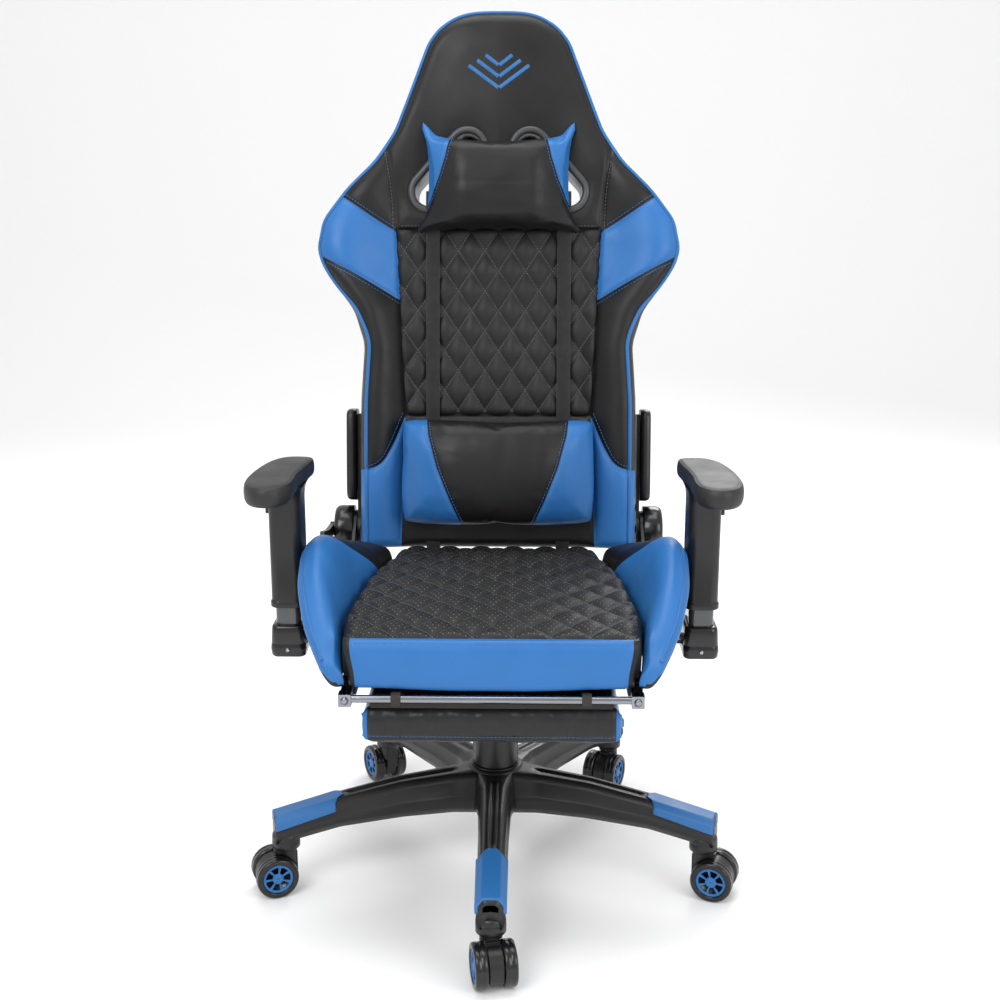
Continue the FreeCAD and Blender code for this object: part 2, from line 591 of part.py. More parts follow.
# height up the back, half width, how far the side wings stand forward, depth of the rear face
BACK_STATIONS = ((0.0, 217.0, 16.0, 86.0), (122.0, 217.0, 24.0, SHELL_REAR), (232.0, 216.0, 28.0, SHELL_REAR),
                 (320.0, 210.0, 30.0, SHELL_REAR), (372.0, 226.0, 30.0, SHELL_REAR),
                 (419.0, 261.0, 30.0, SHELL_REAR), (442.0, 275.0, 28.0, 86.0), (466.0, 282.0, 26.0, 84.0),
                 (511.0, 273.0, 22.0, 84.0), (557.0, 239.0, 16.0, 84.0), (603.0, 193.0, 8.0, 84.0),
                 (649.0, 163.0, 3.0, 82.0), (717.0, 137.0, 0.0, 78.0), (785.0, 111.0, 0.0, 72.0),
                 (810.0, 91.0, -3.0, 68.0), (826.0, 62.0, -6.0, 64.0), (BACK_LENGTH, 32.0, -10.0, 62.5))
SHELL_SIDE = 14.0            # thickness of the rear shell at the sides and behind
SHELL_WALL = 10.0
HOLE = ((78.0, 588.0), 44.0, 25.0, -48.0)   # centre, half length, radius, slant: for the +X side
STRAP_X = 102.0
STRAP_HALF = 10.5


def back_cushion():
    sections = []
    for s, w, wing, _ in BACK_STATIONS:
        right = [(w * 0.62, max(0.0, -wing), s), (w * 0.87, -wing, s), (w * 0.965, -wing * 0.65, s),
                 (w, 12, s), (w, FOAM, s)]
        left = [(-x, depth, height) for x, depth, height in reversed(right)]
        sections.append(left + right)
    return loft(sections)


def back_shell():
    outside = []
    inside = []
    for s, w, _, rear in BACK_STATIONS:
        bend = min(26.0, 0.3 * w)
        outside.append([(-w, FOAM, s), (-w, rear - 16, s), (bend - w, rear, s), (w - bend, rear, s),
                        (w, rear - 16, s), (w, FOAM, s)])
    for s, w, _, rear in BACK_STATIONS[:-3]:
        low = SHELL_SIDE if s == 0 else s
        half = w - SHELL_SIDE
        deep = rear - SHELL_WALL
        inside.append([(-half, FOAM - 1, low), (-half, deep - 12, low), (20 - half, deep, low),
                       (half - 20, deep, low), (half, deep - 12, low), (half, FOAM - 1, low)])
    return loft(outside).cut(loft(inside))


def harness_hole(grow, t0, t1):
    centre, half, radius, turn = HOLE
    return stadium(centre, half, radius + grow, turn, t0, t1)


def make_back():
    holes = both(harness_hole(0.0, -60, 120))
    cut_holes = holes[0].fuse(holes[1])
    tunnels = both(rod(6.5, 40, (190, PIVOT_T, 60), ALONG_X))
    save("back_cushion", on_back(back_cushion().cut(cut_holes)))
    shell = back_shell().fuse(both(harness_hole(5.0, FOAM, 80))).cut(cut_holes)
    shell = shell.cut(tunnels[0].fuse(tunnels[1]))
    save("back_shell", on_back(shell))
    save("back_frame", on_back(back_frame()))
    liner = harness_hole(-0.1, -1.0, SHELL_REAR + 0.2).cut(harness_hole(-3.0, -5, 95))
    flange = harness_hole(9.0, -4.0, -0.4).cut(harness_hole(-3.0, -5, 95))
    save("harness_trims", *[on_back(s) for s in both(liner.fuse(flange).removeSplitter())])


def back_frame():
    """Bent tube hoop with cross tubes, between the front cushion and the rear shell."""
    return hoop(9.0, 6.0).cut(hoop(7.2, 4.5)).removeSplitter()


def hoop(radius, cross_radius):
    t = PIVOT_T
    path = ((186.0, 30.0), (186.0, 470.0), (118.0, 680.0), (60.0, 735.0))
    pieces = [Part.makeSphere(radius, Vector(x, t, s)) for x, s in path]
    for (x0, s0), (x1, s1) in zip(path, path[1:]):
        run = Vector(x1 - x0, 0, s1 - s0)
        pieces.append(Part.makeCylinder(radius, run.Length, Vector(x0, t, s0), run))
    half = pieces[0].fuse(pieces[1:])
    top = Part.makeCylinder(radius, 120.0, Vector(-60, t, 735.0), ALONG_X)
    reach = BRACKET_X - 9.0 + radius
    low = Part.makeCylinder(cross_radius, 2 * reach, Vector(-reach, t, 60), ALONG_X)
    middle = Part.makeCylinder(cross_radius, 372.0, Vector(-186, t, 300), ALONG_X)
    return half.fuse([mirrored(half), top, low, middle])


def make_back_hinges():
    x = BRACKET_X
    outline = ((-16, 30), (16, 30), (14, 210), (-14, 210))
    strip = prism([(x, PIVOT_T + t, s) for t, s in outline], (PLATE, 0, 0))
    eye = Part.makeCylinder(26.0, PLATE, Vector(x, PIVOT_T, PIVOT_S), ALONG_X)
    bracket = strip.fuse(eye)
    bracket = bracket.cut(Part.makeCylinder(6.0 + RUNNING, PLATE, Vector(x, PIVOT_T, PIVOT_S), ALONG_X))
    save("back_brackets", *[on_back(s) for s in both(bracket.removeSplitter())])
    cover = box(x + PLATE + 1, x + PLATE + 17, PIVOT_T - 28, PIVOT_T + 24, 72, 217)
    edges = [e for e in cover.Edges if abs(e.tangentAt(e.FirstParameter).x) > 0.9]
    cover = cover.makeFillet(12.0, edges)
    save("back_covers", *[on_back(s) for s in both(cover)])


def make_pillows():
    # x, lowest and highest point, depth
    profile = ((-122.0, 484.0, 660.0, 20.0), (-100.0, 490.0, 644.0, 46.0), (-55.0, 489.0, 638.0, 66.0),
               (0.0, 488.0, 636.0, 70.0), (55.0, 489.0, 638.0, 66.0), (100.0, 490.0, 644.0, 46.0),
               (122.0, 484.0, 660.0, 20.0))
    rear = -5.0
    rows = []
    for x, low, high, depth in profile:
        rows.append([(x, rear, low + 8), (x, rear - 0.25 * depth, low), (x, rear - 0.75 * depth, low + 12),
                     (x, rear - depth, (low + high) / 2), (x, rear - 0.75 * depth, high - 12),
                     (x, rear - 0.25 * depth, high), (x, rear, high - 8)])
    save("head_pillow", on_back(loft(rows)))
    rows = []
    rear = -3.0
    stations = ((42.0, 138.0, 24.0), (62.0, 145.0, 62.0), (122.0, 147.0, 78.0), (182.0, 144.0, 62.0),
                (203.0, 138.0, 24.0))    # height, half width, depth
    for s, half, depth in stations:
        near, front = rear - 10.5, rear - depth
        shoulder = rear - 0.85 * depth
        rows.append([(18 - half, rear, s), (-half, near, s), (-half, (rear + front) / 2, s),
                     (18 - half, shoulder, s), (-half / 2, front, s), (half / 2, front, s),
                     (half - 18, shoulder, s), (half, (rear + front) / 2, s), (half, near, s),
                     (half - 18, rear, s)])
    save("lumbar_pillow", on_back(loft(rows)))


def make_straps():
    thick = 1.5
    x0 = STRAP_X - STRAP_HALF
    x1 = STRAP_X + STRAP_HALF
    rear = SHELL_REAR + 0.6
    front = -0.6
    top = 556.0
    loop = box(x0, x1, front - thick, rear + thick, -2.2, top)
    loop = loop.cut(box(x0, x1, front, rear, -2.2 + thick, top - thick))
    loop = loop.cut(harness_hole(9.0, -4.5, 0.0).cut(harness_hole(-3.0, -5.0, 1.0)))
    save("lumbar_straps", *[on_back(s) for s in both(loop)])
    low, high = 580.0, 602.0
    band = box(-79, 79, -4.8, 91.5, low, high).cut(box(-77.5, 77.5, -6, 90, low, high))
    save("head_strap", on_back(band))


def main():
    os.makedirs("parts", exist_ok=True)
    make_base()
    make_casters()
    make_lift()
    make_mechanism()
    make_tilt_plate()
    make_seat_frame()
    make_seat_cushion()
    make_hinge_plates()
    make_recline_lever()
    make_arms()
    make_footrest()
    make_back()
    make_back_hinges()
    make_pillows()
    make_straps()


main()
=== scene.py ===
# %% [markdown]
# # A racing-style gaming chair
# The real chair has a steel frame under moulded foam, and the foam wears artificial leather in black
# and blue. A moulded star base on five twin-wheel casters carries it on a gas lift. The frame from the CAD
# model fixes every place and size, so each piece here is drawn in its millimetres and rides on its bodies.

# %% Load the fixed frame
import math

import bmesh
import bpy
import numpy as np
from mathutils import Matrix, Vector, kdtree, noise
from mathutils.bvhtree import BVHTree


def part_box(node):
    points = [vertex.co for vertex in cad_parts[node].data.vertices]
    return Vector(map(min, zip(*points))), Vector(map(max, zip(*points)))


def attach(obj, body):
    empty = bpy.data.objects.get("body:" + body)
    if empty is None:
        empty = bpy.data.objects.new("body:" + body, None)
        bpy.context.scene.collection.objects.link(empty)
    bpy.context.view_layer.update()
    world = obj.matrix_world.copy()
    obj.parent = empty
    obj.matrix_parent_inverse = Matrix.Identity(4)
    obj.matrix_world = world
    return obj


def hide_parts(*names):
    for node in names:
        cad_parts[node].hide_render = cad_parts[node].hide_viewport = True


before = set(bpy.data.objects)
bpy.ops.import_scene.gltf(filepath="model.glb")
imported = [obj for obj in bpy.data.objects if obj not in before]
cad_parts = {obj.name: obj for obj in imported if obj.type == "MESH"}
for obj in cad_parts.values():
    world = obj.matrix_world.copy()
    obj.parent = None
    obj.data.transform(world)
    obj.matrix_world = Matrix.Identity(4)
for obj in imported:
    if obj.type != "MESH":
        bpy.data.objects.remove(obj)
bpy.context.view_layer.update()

# %% [markdown]
# ## Measuring from the frame
# The chair is easiest to draw about its gas column, in millimetres, and its backrest in a plane of its
# own that leans back by a few degrees: x across, t into the foam, s up the back. Two small functions
# take both to the frame.

# %% Places in the frame
MM = 0.001
cylinder_low, cylinder_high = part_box("gas_cylinder")
column_y = (cylinder_low.y + cylinder_high.y) / 2
BACK_FOOT = (194.0, 430.5)
LEAN = math.radians(9.33)


def chair(points):
    """Millimetres about the gas column to metres in the frame."""
    return np.asarray(points, float) * MM + np.array([0.0, column_y, 0.0])


def back(points):
    """Backrest x, t, s to millimetres about the gas column."""
    p = np.asarray(points, float)
    x, t, s = p[..., 0], p[..., 1], p[..., 2]
    y = BACK_FOOT[0] + t * math.cos(LEAN) + s * math.sin(LEAN)
    z = BACK_FOOT[1] - t * math.sin(LEAN) + s * math.cos(LEAN)
    return np.stack([x, y, z], axis=-1)


print("gas column at y =", round(column_y, 4), "m")

# %% [markdown]
# ## Surfaces that more than one material shares
# Artificial leather is a thin coat pressed with a pebble grain, and the foam under it lets light fold
# over shallow dents. Moulded nylon has a fine spark texture. Edges that hands and shoes rub go a little
# lighter. Each of these is one node group with named inputs, placed in every material that needs it
# with its own values.

# %% Node helpers and the shared groups
def group(name, inputs, outputs):
    tree = bpy.data.node_groups.new(name, "ShaderNodeTree")
    for label, value in inputs:
        tree.interface.new_socket(label, in_out="INPUT", socket_type="NodeSocketFloat").default_value = value
    for label, kind in outputs:
        tree.interface.new_socket(label, in_out="OUTPUT", socket_type=kind)
    return tree, tree.nodes.new("NodeGroupInput"), tree.nodes.new("NodeGroupOutput")


def node(tree, kind, links=(), **values):
    """A node with its properties set, and its inputs linked or filled by name or number."""
    made = tree.nodes.new(kind)
    for key, value in values.items():
        setattr(made, key, value)
    for socket, source in links:
        if hasattr(source, "is_output"):
            tree.links.new(source, made.inputs[socket])
        else:
            made.inputs[socket].default_value = source
    return made


def leather_grain():
    tree, given, out = group("leather_grain", (("Cell", 1.3), ("Dent", 0.4)),
                             (("Height", "NodeSocketFloat"), ("Rub", "NodeSocketFloat")))
    place = node(tree, "ShaderNodeTexCoord").outputs["Object"]
    per_mm = node(tree, "ShaderNodeMath", ((0, 1000.0), (1, given.outputs["Cell"])), operation="DIVIDE")
    pebbles = node(tree, "ShaderNodeTexVoronoi", (("Vector", place), ("Scale", per_mm.outputs[0])),
                   feature="SMOOTH_F1")
    creases = node(tree, "ShaderNodeTexNoise", (("Vector", place), ("Scale", 420.0), ("Detail", 3.0)))
    dents = node(tree, "ShaderNodeTexNoise", (("Vector", place), ("Scale", 16.0), ("Detail", 2.0)))
    grain = node(tree, "ShaderNodeMath", ((0, pebbles.outputs["Distance"]), (1, 0.6),
                                          (2, creases.outputs[0])), operation="MULTIPLY_ADD")
    fine = node(tree, "ShaderNodeMath", ((0, grain.outputs[0]), (1, 0.16)), operation="MULTIPLY")
    total = node(tree, "ShaderNodeMath", ((0, dents.outputs[0]), (1, given.outputs["Dent"]),
                                          (2, fine.outputs[0])), operation="MULTIPLY_ADD")
    tree.links.new(total.outputs[0], out.inputs["Height"])
    tree.links.new(dents.outputs[0], out.inputs["Rub"])
    return tree


def moulded_grain():
    tree, given, out = group("moulded_grain", (("Grain", 900.0),),
                             (("Height", "NodeSocketFloat"), ("Rub", "NodeSocketFloat")))
    place = node(tree, "ShaderNodeTexCoord").outputs["Object"]
    spark = node(tree, "ShaderNodeTexNoise",
                 (("Vector", place), ("Scale", given.outputs["Grain"]), ("Detail", 2.0)))
    cloud = node(tree, "ShaderNodeTexNoise", (("Vector", place), ("Scale", 22.0), ("Detail", 4.0)))
    tree.links.new(spark.outputs[0], out.inputs["Height"])
    tree.links.new(cloud.outputs[0], out.inputs["Rub"])
    return tree


def edge_wear():
    """Mask of the edges, from how far a rounded normal turns away from the true one."""
    tree, given, out = group("edge_wear", (("Radius", 0.0015), ("Strength", 5.0)),
                             (("Edge", "NodeSocketFloat"), ("Normal", "NodeSocketVector")))
    soft = node(tree, "ShaderNodeBevel", (("Radius", given.outputs["Radius"]),), samples=4)
    true = node(tree, "ShaderNodeNewGeometry").outputs["Normal"]
    dot = node(tree, "ShaderNodeVectorMath", ((0, soft.outputs[0]), (1, true)), operation="DOT_PRODUCT")
    turn = node(tree, "ShaderNodeMath", ((0, 1.0), (1, dot.outputs["Value"])), operation="SUBTRACT")
    edge = node(tree, "ShaderNodeMath", ((0, turn.outputs[0]), (1, given.outputs["Strength"])),
                operation="MULTIPLY", use_clamp=True)
    tree.links.new(edge.outputs[0], out.inputs["Edge"])
    tree.links.new(soft.outputs[0], out.inputs["Normal"])
    return tree


GRAIN, MOULDED, WEAR = leather_grain(), moulded_grain(), edge_wear()
print("shared groups:", GRAIN.name, MOULDED.name, WEAR.name)

# %% [markdown]
# ## Materials
# The two leathers meet along sewn seams, so one material holds both colours and a number stored on the
# mesh, "tone", says how far a point lies inside the blue: the shader turns it into a crisp line that
# the mesh doesn't have to follow. The plastics and metals read their grain from the same groups.

# %% Leather, plastic and metal
BLACK = (0.0078, 0.0078, 0.0083, 1.0)
BLUE = (0.024, 0.145, 0.41, 1.0)


def use_group(tree, which, **inputs):
    made = tree.nodes.new("ShaderNodeGroup")
    made.node_tree = which
    for label, value in inputs.items():
        made.inputs[label].default_value = value
    return made


def surface(name):
    material = bpy.data.materials.new(name)
    material.use_nodes = True
    return material, material.node_tree, material.node_tree.nodes["Principled BSDF"]


def shade(tree, shader, colour, darker, rub, low, high):
    """Colour and roughness that drift slowly between two values."""
    mix = node(tree, "ShaderNodeMix", ((0, rub), (6, darker), (7, colour)), data_type="RGBA")
    rough = node(tree, "ShaderNodeMapRange", ((0, rub), (1, 0.3), (2, 0.7), (3, low), (4, high)))
    tree.links.new(mix.outputs[2], shader.inputs["Base Color"])
    tree.links.new(rough.outputs[0], shader.inputs["Roughness"])
    return mix


def scaled(colour, k):
    return tuple(c * k for c in colour[:3]) + (1.0,)


def leather(name, two_tone, colour=BLACK, low=0.36, high=0.52, dent=0.35, bump=0.5):
    material, tree, shader = surface(name)
    grain = use_group(tree, GRAIN, Cell=1.25, Dent=dent)
    mix = shade(tree, shader, colour, scaled(colour, 0.82), grain.outputs["Rub"], low, high)
    if two_tone:
        blue = node(tree, "ShaderNodeMix", ((0, grain.outputs["Rub"]), (6, scaled(BLUE, 0.9)), (7, BLUE)),
                    data_type="RGBA")
        tone = node(tree, "ShaderNodeAttribute", attribute_name="tone").outputs["Fac"]
        line = node(tree, "ShaderNodeMapRange", ((0, tone), (1, -0.35), (2, 0.35)))
        both = node(tree, "ShaderNodeMix", ((0, line.outputs[0]), (6, mix.outputs[2]), (7, blue.outputs[2])),
                    data_type="RGBA")
        tree.links.new(both.outputs[2], shader.inputs["Base Color"])
    height = node(tree, "ShaderNodeBump",
                  (("Height", grain.outputs["Height"]), ("Strength", bump), ("Distance", 0.0006)))
    tree.links.new(height.outputs[0], shader.inputs["Normal"])
    shader.inputs["Specular IOR Level"].default_value = 0.32
    return material


def moulded(name, colour, low, high, wear=0.35, grain=900.0, radius=0.0012, bump=0.12, metallic=0.0,
            coat=0.0):
    material, tree, shader = surface(name)
    texture = use_group(tree, MOULDED, Grain=grain)
    edge = use_group(tree, WEAR, Radius=radius, Strength=5.0)
    mix = shade(tree, shader, colour, scaled(colour, 0.8), texture.outputs["Rub"], low, high)
    amount = node(tree, "ShaderNodeMath", ((0, edge.outputs["Edge"]), (1, wear)), operation="MULTIPLY")
    pale = tuple(min(1.0, c * 1.6 + 0.02) for c in colour[:3]) + (1.0,)
    worn = node(tree, "ShaderNodeMix", ((0, amount.outputs[0]), (6, mix.outputs[2]), (7, pale)),
                data_type="RGBA")
    tree.links.new(worn.outputs[2], shader.inputs["Base Color"])
    height = node(tree, "ShaderNodeBump", (("Height", texture.outputs["Height"]), ("Strength", bump),
                                           ("Distance", 0.0003), ("Normal", edge.outputs["Normal"])))
    tree.links.new(height.outputs[0], shader.inputs["Normal"])
    shader.inputs["Metallic"].default_value = metallic
    shader.inputs["Coat Weight"].default_value = coat
    return material


def woven(name, colour, per_metre=700.0):
    material, tree, shader = surface(name)
    place = node(tree, "ShaderNodeTexCoord").outputs["Object"]
    waves = [node(tree, "ShaderNodeTexWave", (("Vector", place), ("Scale", per_metre), ("Distortion", 0.4)),
                  bands_direction=way) for way in ("X", "Z")]
    weave = node(tree, "ShaderNodeMath", ((0, waves[0].outputs["Fac"]), (1, waves[1].outputs["Fac"])),
                 operation="ADD")
    cloud = node(tree, "ShaderNodeTexNoise", (("Vector", place), ("Scale", 60.0), ("Detail", 3.0)))
    shade(tree, shader, colour, scaled(colour, 0.7), cloud.outputs[0], 0.75, 0.92)
    height = node(tree, "ShaderNodeBump",
                  (("Height", weave.outputs[0]), ("Strength", 0.5), ("Distance", 0.0003)))
    tree.links.new(height.outputs[0], shader.inputs["Normal"])
    shader.inputs["Sheen Weight"].default_value = 0.3
    return material


TWO_TONE = leather("black_and_blue_leather", True)
BLACK_HIDE = leather("black_leather", False)
BLUE_HIDE = leather("blue_piping_leather", False, BLUE, 0.34, 0.46, 0.2)
QUILT_HIDE = leather("quilted_leather", False, (0.0145, 0.0145, 0.0148, 1.0), 0.46, 0.60, 0.15)
WRINKLED = leather("wrinkled_leather", True, (0.014, 0.014, 0.015, 1.0), 0.28, 0.42, 0.9, 0.6)
NYLON = moulded("black_nylon", (0.0052, 0.0052, 0.0056, 1.0), 0.30, 0.42)
NYLON_GLOSS = moulded("glossy_black_plastic", (0.007, 0.007, 0.008, 1.0), 0.16, 0.26, 0.2, 500.0, 0.0015,
                      0.04)
BLUE_PLASTIC = moulded("blue_plastic", (0.020, 0.145, 0.40, 1.0), 0.36, 0.46, 0.25)
SOFT_PAD = moulded("soft_arm_pad", (0.0125, 0.0125, 0.013, 1.0), 0.44, 0.56, 0.15, 1400.0, 0.002, 0.25)
PAINTED = moulded("powder_coated_steel", (0.006, 0.006, 0.0065, 1.0), 0.38, 0.5, 0.3, 650.0, 0.0008, 0.3)
POST_PAINT = moulded("polished_dark_post", (0.085, 0.087, 0.092, 1.0), 0.14, 0.24, 0.3, 500.0, 0.001, 0.05,
                     0.6, 0.3)
STEEL = moulded("brushed_steel", (0.42, 0.42, 0.44, 1.0), 0.24, 0.4, 0.3, 900.0, 0.0006, 0.1, 1.0)
CHROME = moulded("chrome_plate", (0.30, 0.31, 0.34, 1.0), 0.05, 0.14, 0.2, 300.0, 0.0008, 0.02, 1.0)
BOARD = moulded("stained_plywood_board", (0.018, 0.014, 0.011, 1.0), 0.6, 0.75, 0.1, 250.0, 0.0008, 0.3)
TRIM = moulded("grey_hole_trim", (0.05, 0.052, 0.055, 1.0), 0.3, 0.4, 0.4, 700.0, 0.0012)
WEBBING = woven("strap_webbing", (0.010, 0.010, 0.011, 1.0))
BLUE_THREAD = woven("blue_thread", (0.02, 0.20, 0.55, 1.0), 2500.0)
GREY_THREAD = woven("grey_thread", (0.15, 0.15, 0.155, 1.0), 2500.0)
PALE_HOLES = woven("pale_perforations", (0.36, 0.36, 0.35, 1.0), 2500.0)
print(len(bpy.data.materials), "materials")

# %% [markdown]
# ## Making pieces
# Most soft pieces here are grids of points whose height follows a few rules: how far a point is from
# the edge, from a seam, from a quilting line. A grid in front and one behind, joined along their rims,
# is a closed form, and a cell left out of both becomes a hole with walls.

# %% Grids, closed forms and curves
def finish_piece(name, mesh, materials, body, stands_for=()):
    for material in materials if isinstance(materials, (list, tuple)) else [materials]:
        if material.name not in mesh.materials:
            mesh.materials.append(material)
    mesh.polygons.foreach_set("use_smooth", [True] * len(mesh.polygons))
    mesh.update()
    piece = bpy.data.objects.new(name, mesh)
    bpy.context.scene.collection.objects.link(piece)
    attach(piece, body)
    if stands_for:
        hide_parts(*([stands_for] if isinstance(stands_for, str) else stands_for))
    print(f"{name}: {len(mesh.vertices)} points, {len(mesh.polygons)} faces, on {body}")
    return piece


def clean_mesh(name, points, faces):
    """A mesh in the frame's metres, without loose points, with its faces outwards."""
    mesh = bpy.data.meshes.new(name)
    mesh.from_pydata(chair(points).tolist(), [], [tuple(f) for f in faces])
    work = bmesh.new()
    work.from_mesh(mesh)
    bmesh.ops.delete(work, geom=[v for v in work.verts if not v.link_faces], context="VERTS")
    bmesh.ops.remove_doubles(work, verts=work.verts, dist=1e-6)
    bmesh.ops.recalc_face_normals(work, faces=work.faces)
    work.to_mesh(mesh)
    work.free()
    return mesh


def slab(name, front, rear, keep=None, wrap=False):
    """The closed form between two grids of points; keep says which of their cells are there."""
    rows, columns = front.shape[:2]
    index = np.arange(rows * columns).reshape(rows, columns)
    if wrap:
        index = np.concatenate([index, index[:, :1]], 1)
    if keep is None:
        keep = np.ones((rows - 1, index.shape[1] - 1), bool)
    shift = rows * columns
    a, b, c, d = index[:-1, :-1][keep], index[:-1, 1:][keep], index[1:, 1:][keep], index[1:, :-1][keep]
    faces = np.concatenate([np.stack([a, b, c, d], 1), np.stack([d, c, b, a], 1) + shift]).tolist()
    padded = np.pad(keep, 1)
    if wrap:
        padded[1:-1, 0], padded[1:-1, -1] = keep[:, -1], keep[:, 0]
    for i, j in zip(*np.nonzero(padded[1:, 1:-1] != padded[:-1, 1:-1])):
        p, q = index[i, j], index[i, j + 1]
        faces.append((p, q, q + shift, p + shift))
    for i, j in zip(*np.nonzero(padded[1:-1, 1:] != padded[1:-1, :-1])):
        p, q = index[i, j], index[i + 1, j]
        faces.append((p, q, q + shift, p + shift))
    points = np.concatenate([front.reshape(-1, 3), rear.reshape(-1, 3)])
    return clean_mesh(name, points, faces)


def closed_rows(name, rows):
    """Closed rings of points, joined along their length and capped at both ends."""
    rows = np.asarray(rows, float)
    count, around = rows.shape[:2]
    index = np.arange(count * around).reshape(count, around)
    after = np.roll(index, -1, axis=1)
    quads = np.stack([index[:-1], after[:-1], after[1:], index[1:]], -1).reshape(-1, 4).tolist()
    middle = [rows[0].mean(0), rows[-1].mean(0)]
    first, last = count * around, count * around + 1
    quads += [(first, after[0, k], index[0, k]) for k in range(around)]
    quads += [(last, index[-1, k], after[-1, k]) for k in range(around)]
    return clean_mesh(name, np.concatenate([rows.reshape(-1, 3), middle]), quads)


def looped(name, rows):
    """Closed rings of points, with the last ring joined to the first."""
    rows = np.asarray(rows, float)
    count, around = rows.shape[:2]
    index = np.arange(count * around).reshape(count, around)
    after, above = np.roll(index, -1, axis=1), np.roll(index, -1, axis=0)
    quads = np.stack([index, after, np.roll(above, -1, axis=1), above], -1).reshape(-1, 4).tolist()
    return clean_mesh(name, rows.reshape(-1, 3), quads)


def eased(at, stations, spread=14.0):
    """A table's values between its rows, with the corners rounded off."""
    table = np.asarray(stations, float)
    shifts = np.linspace(-spread, spread, 9)
    columns = [np.mean([np.interp(np.asarray(at) + o, table[:, 0], table[:, k]) for o in shifts], axis=0)
               for k in range(1, table.shape[1])]
    return columns[0] if len(columns) == 1 else columns


def smooth_line(points, count, closed=False):
    """Points along a curve that passes through the given ones."""
    p = np.asarray(points, float)
    p = np.concatenate([p[-1:], p, p[:2]]) if closed else (
        np.concatenate([2 * p[:1] - p[1:2], p, 2 * p[-1:] - p[-2:-1]]))
    u = np.linspace(0, len(p) - 3, count, endpoint=not closed)
    i = np.minimum(u.astype(int), len(p) - 4)
    f = (u - i)[:, None]
    a, b, c, d = p[i], p[i + 1], p[i + 2], p[i + 3]
    return 0.5 * (2 * b + (c - a) * f + (2 * a - 5 * b + 4 * c - d) * f ** 2
                  + (3 * b - a - 3 * c + d) * f ** 3)


def distance_to(x, y, line):
    """How far each point lies from a line of points."""
    best = np.full(np.shape(x), 1e9)
    for (x0, y0), (x1, y1) in zip(line[:-1], line[1:]):
        dx, dy = x1 - x0, y1 - y0
        f = np.clip(((x - x0) * dx + (y - y0) * dy) / max(dx * dx + dy * dy, 1e-9), 0, 1)
        best = np.minimum(best, np.hypot(x - x0 - f * dx, y - y0 - f * dy))
    return best


def inside(x, y, outline):
    """How far inside a closed outline each point is; outside, it is negative."""
    ring = np.concatenate([outline, outline[:1]])
    crossed = np.zeros(np.shape(x), bool)
    for (x0, y0), (x1, y1) in zip(ring[:-1], ring[1:]):
        if y0 != y1:
            crossed ^= ((y0 > y) != (y1 > y)) & (x < (x1 - x0) * (y - y0) / (y1 - y0) + x0)
    return np.where(crossed, 1, -1) * distance_to(x, y, ring)


def step(x, low, high):
    f = np.clip((np.asarray(x, float) - low) / (high - low), 0, 1)
    return f * f * (3 - 2 * f)


def ruffle(points, size, seed=0.0):
    """Smooth noise between -1 and 1 at each point, in millimetres."""
    flat = np.asarray(points, float).reshape(-1, 3) / size + seed
    values = [noise.noise(Vector(p)) for p in flat]
    return np.array(values).reshape(np.shape(points)[:-1])


def store(mesh, name, values):
    mesh.attributes.new(name, "FLOAT", "POINT").data.foreach_set("value", np.asarray(values, np.float32))


def design_points(mesh):
    """A mesh's points in millimetres about the gas column."""
    co = np.zeros(len(mesh.vertices) * 3)
    mesh.vertices.foreach_get("co", co)
    return (co.reshape(-1, 3) - np.array([0.0, column_y, 0.0])) / MM


def to_back(points):
    """Millimetres about the gas column to backrest x, t, s."""
    y, z = points[:, 1] - BACK_FOOT[0], points[:, 2] - BACK_FOOT[1]
    return np.stack([points[:, 0], y * math.cos(LEAN) - z * math.sin(LEAN),
                     y * math.sin(LEAN) + z * math.cos(LEAN)], -1)


print("grid and curve helpers ready")

# %% [markdown]
# ## Seams, stitches and piping
# A stitch is a short bulge of thread, sunk at both ends, and a seam has hundreds. Geometry Nodes place
# them: a line of points that lies on the leather, resampled to the pitch, with one small bead instanced
# at each and turned along the seam. Piping is the same line with a round section swept along it.

# %% Lines laid on a surface, and the two trees
def laid_on(piece, starts, direction, lift=0.0):
    """Millimetre points dropped along a direction on to a piece: where they land, and its facing."""
    mesh = piece.data
    tree = BVHTree.FromPolygons([v.co for v in mesh.vertices], [p.vertices[:] for p in mesh.polygons])
    way = Vector(direction).normalized()
    places, facings = [], []
    for start in chair(starts):
        hit, normal, _, _ = tree.ray_cast(Vector(start) - way * 0.25, way)
        if hit is not None:
            places.append(hit + normal * lift * MM)
            facings.append(normal)
    return places, facings


def line_mesh(name, lines):
    mesh = bpy.data.meshes.new(name)
    points, edges, facings = [], [], []
    for places, ways in lines:
        base = len(points)
        points += [tuple(p) for p in places]
        facings += [tuple(w) for w in ways]
        edges += [(base + k, base + k + 1) for k in range(len(places) - 1)]
    mesh.from_pydata(points, edges, [])
    mesh.attributes.new("facing", "FLOAT_VECTOR", "POINT").data.foreach_set(
        "vector", np.array(facings, np.float32).ravel())
    return mesh


def geometry_tree(name, floats, thread=True):
    tree = bpy.data.node_groups.new(name, "GeometryNodeTree")
    tree.interface.new_socket("Geometry", in_out="INPUT", socket_type="NodeSocketGeometry")
    for label, value in floats:
        tree.interface.new_socket(label, in_out="INPUT", socket_type="NodeSocketFloat").default_value = value
    tree.interface.new_socket("Material", in_out="INPUT", socket_type="NodeSocketMaterial")
    tree.interface.new_socket("Geometry", in_out="OUTPUT", socket_type="NodeSocketGeometry")
    return tree, tree.nodes.new("NodeGroupInput"), tree.nodes.new("NodeGroupOutput")


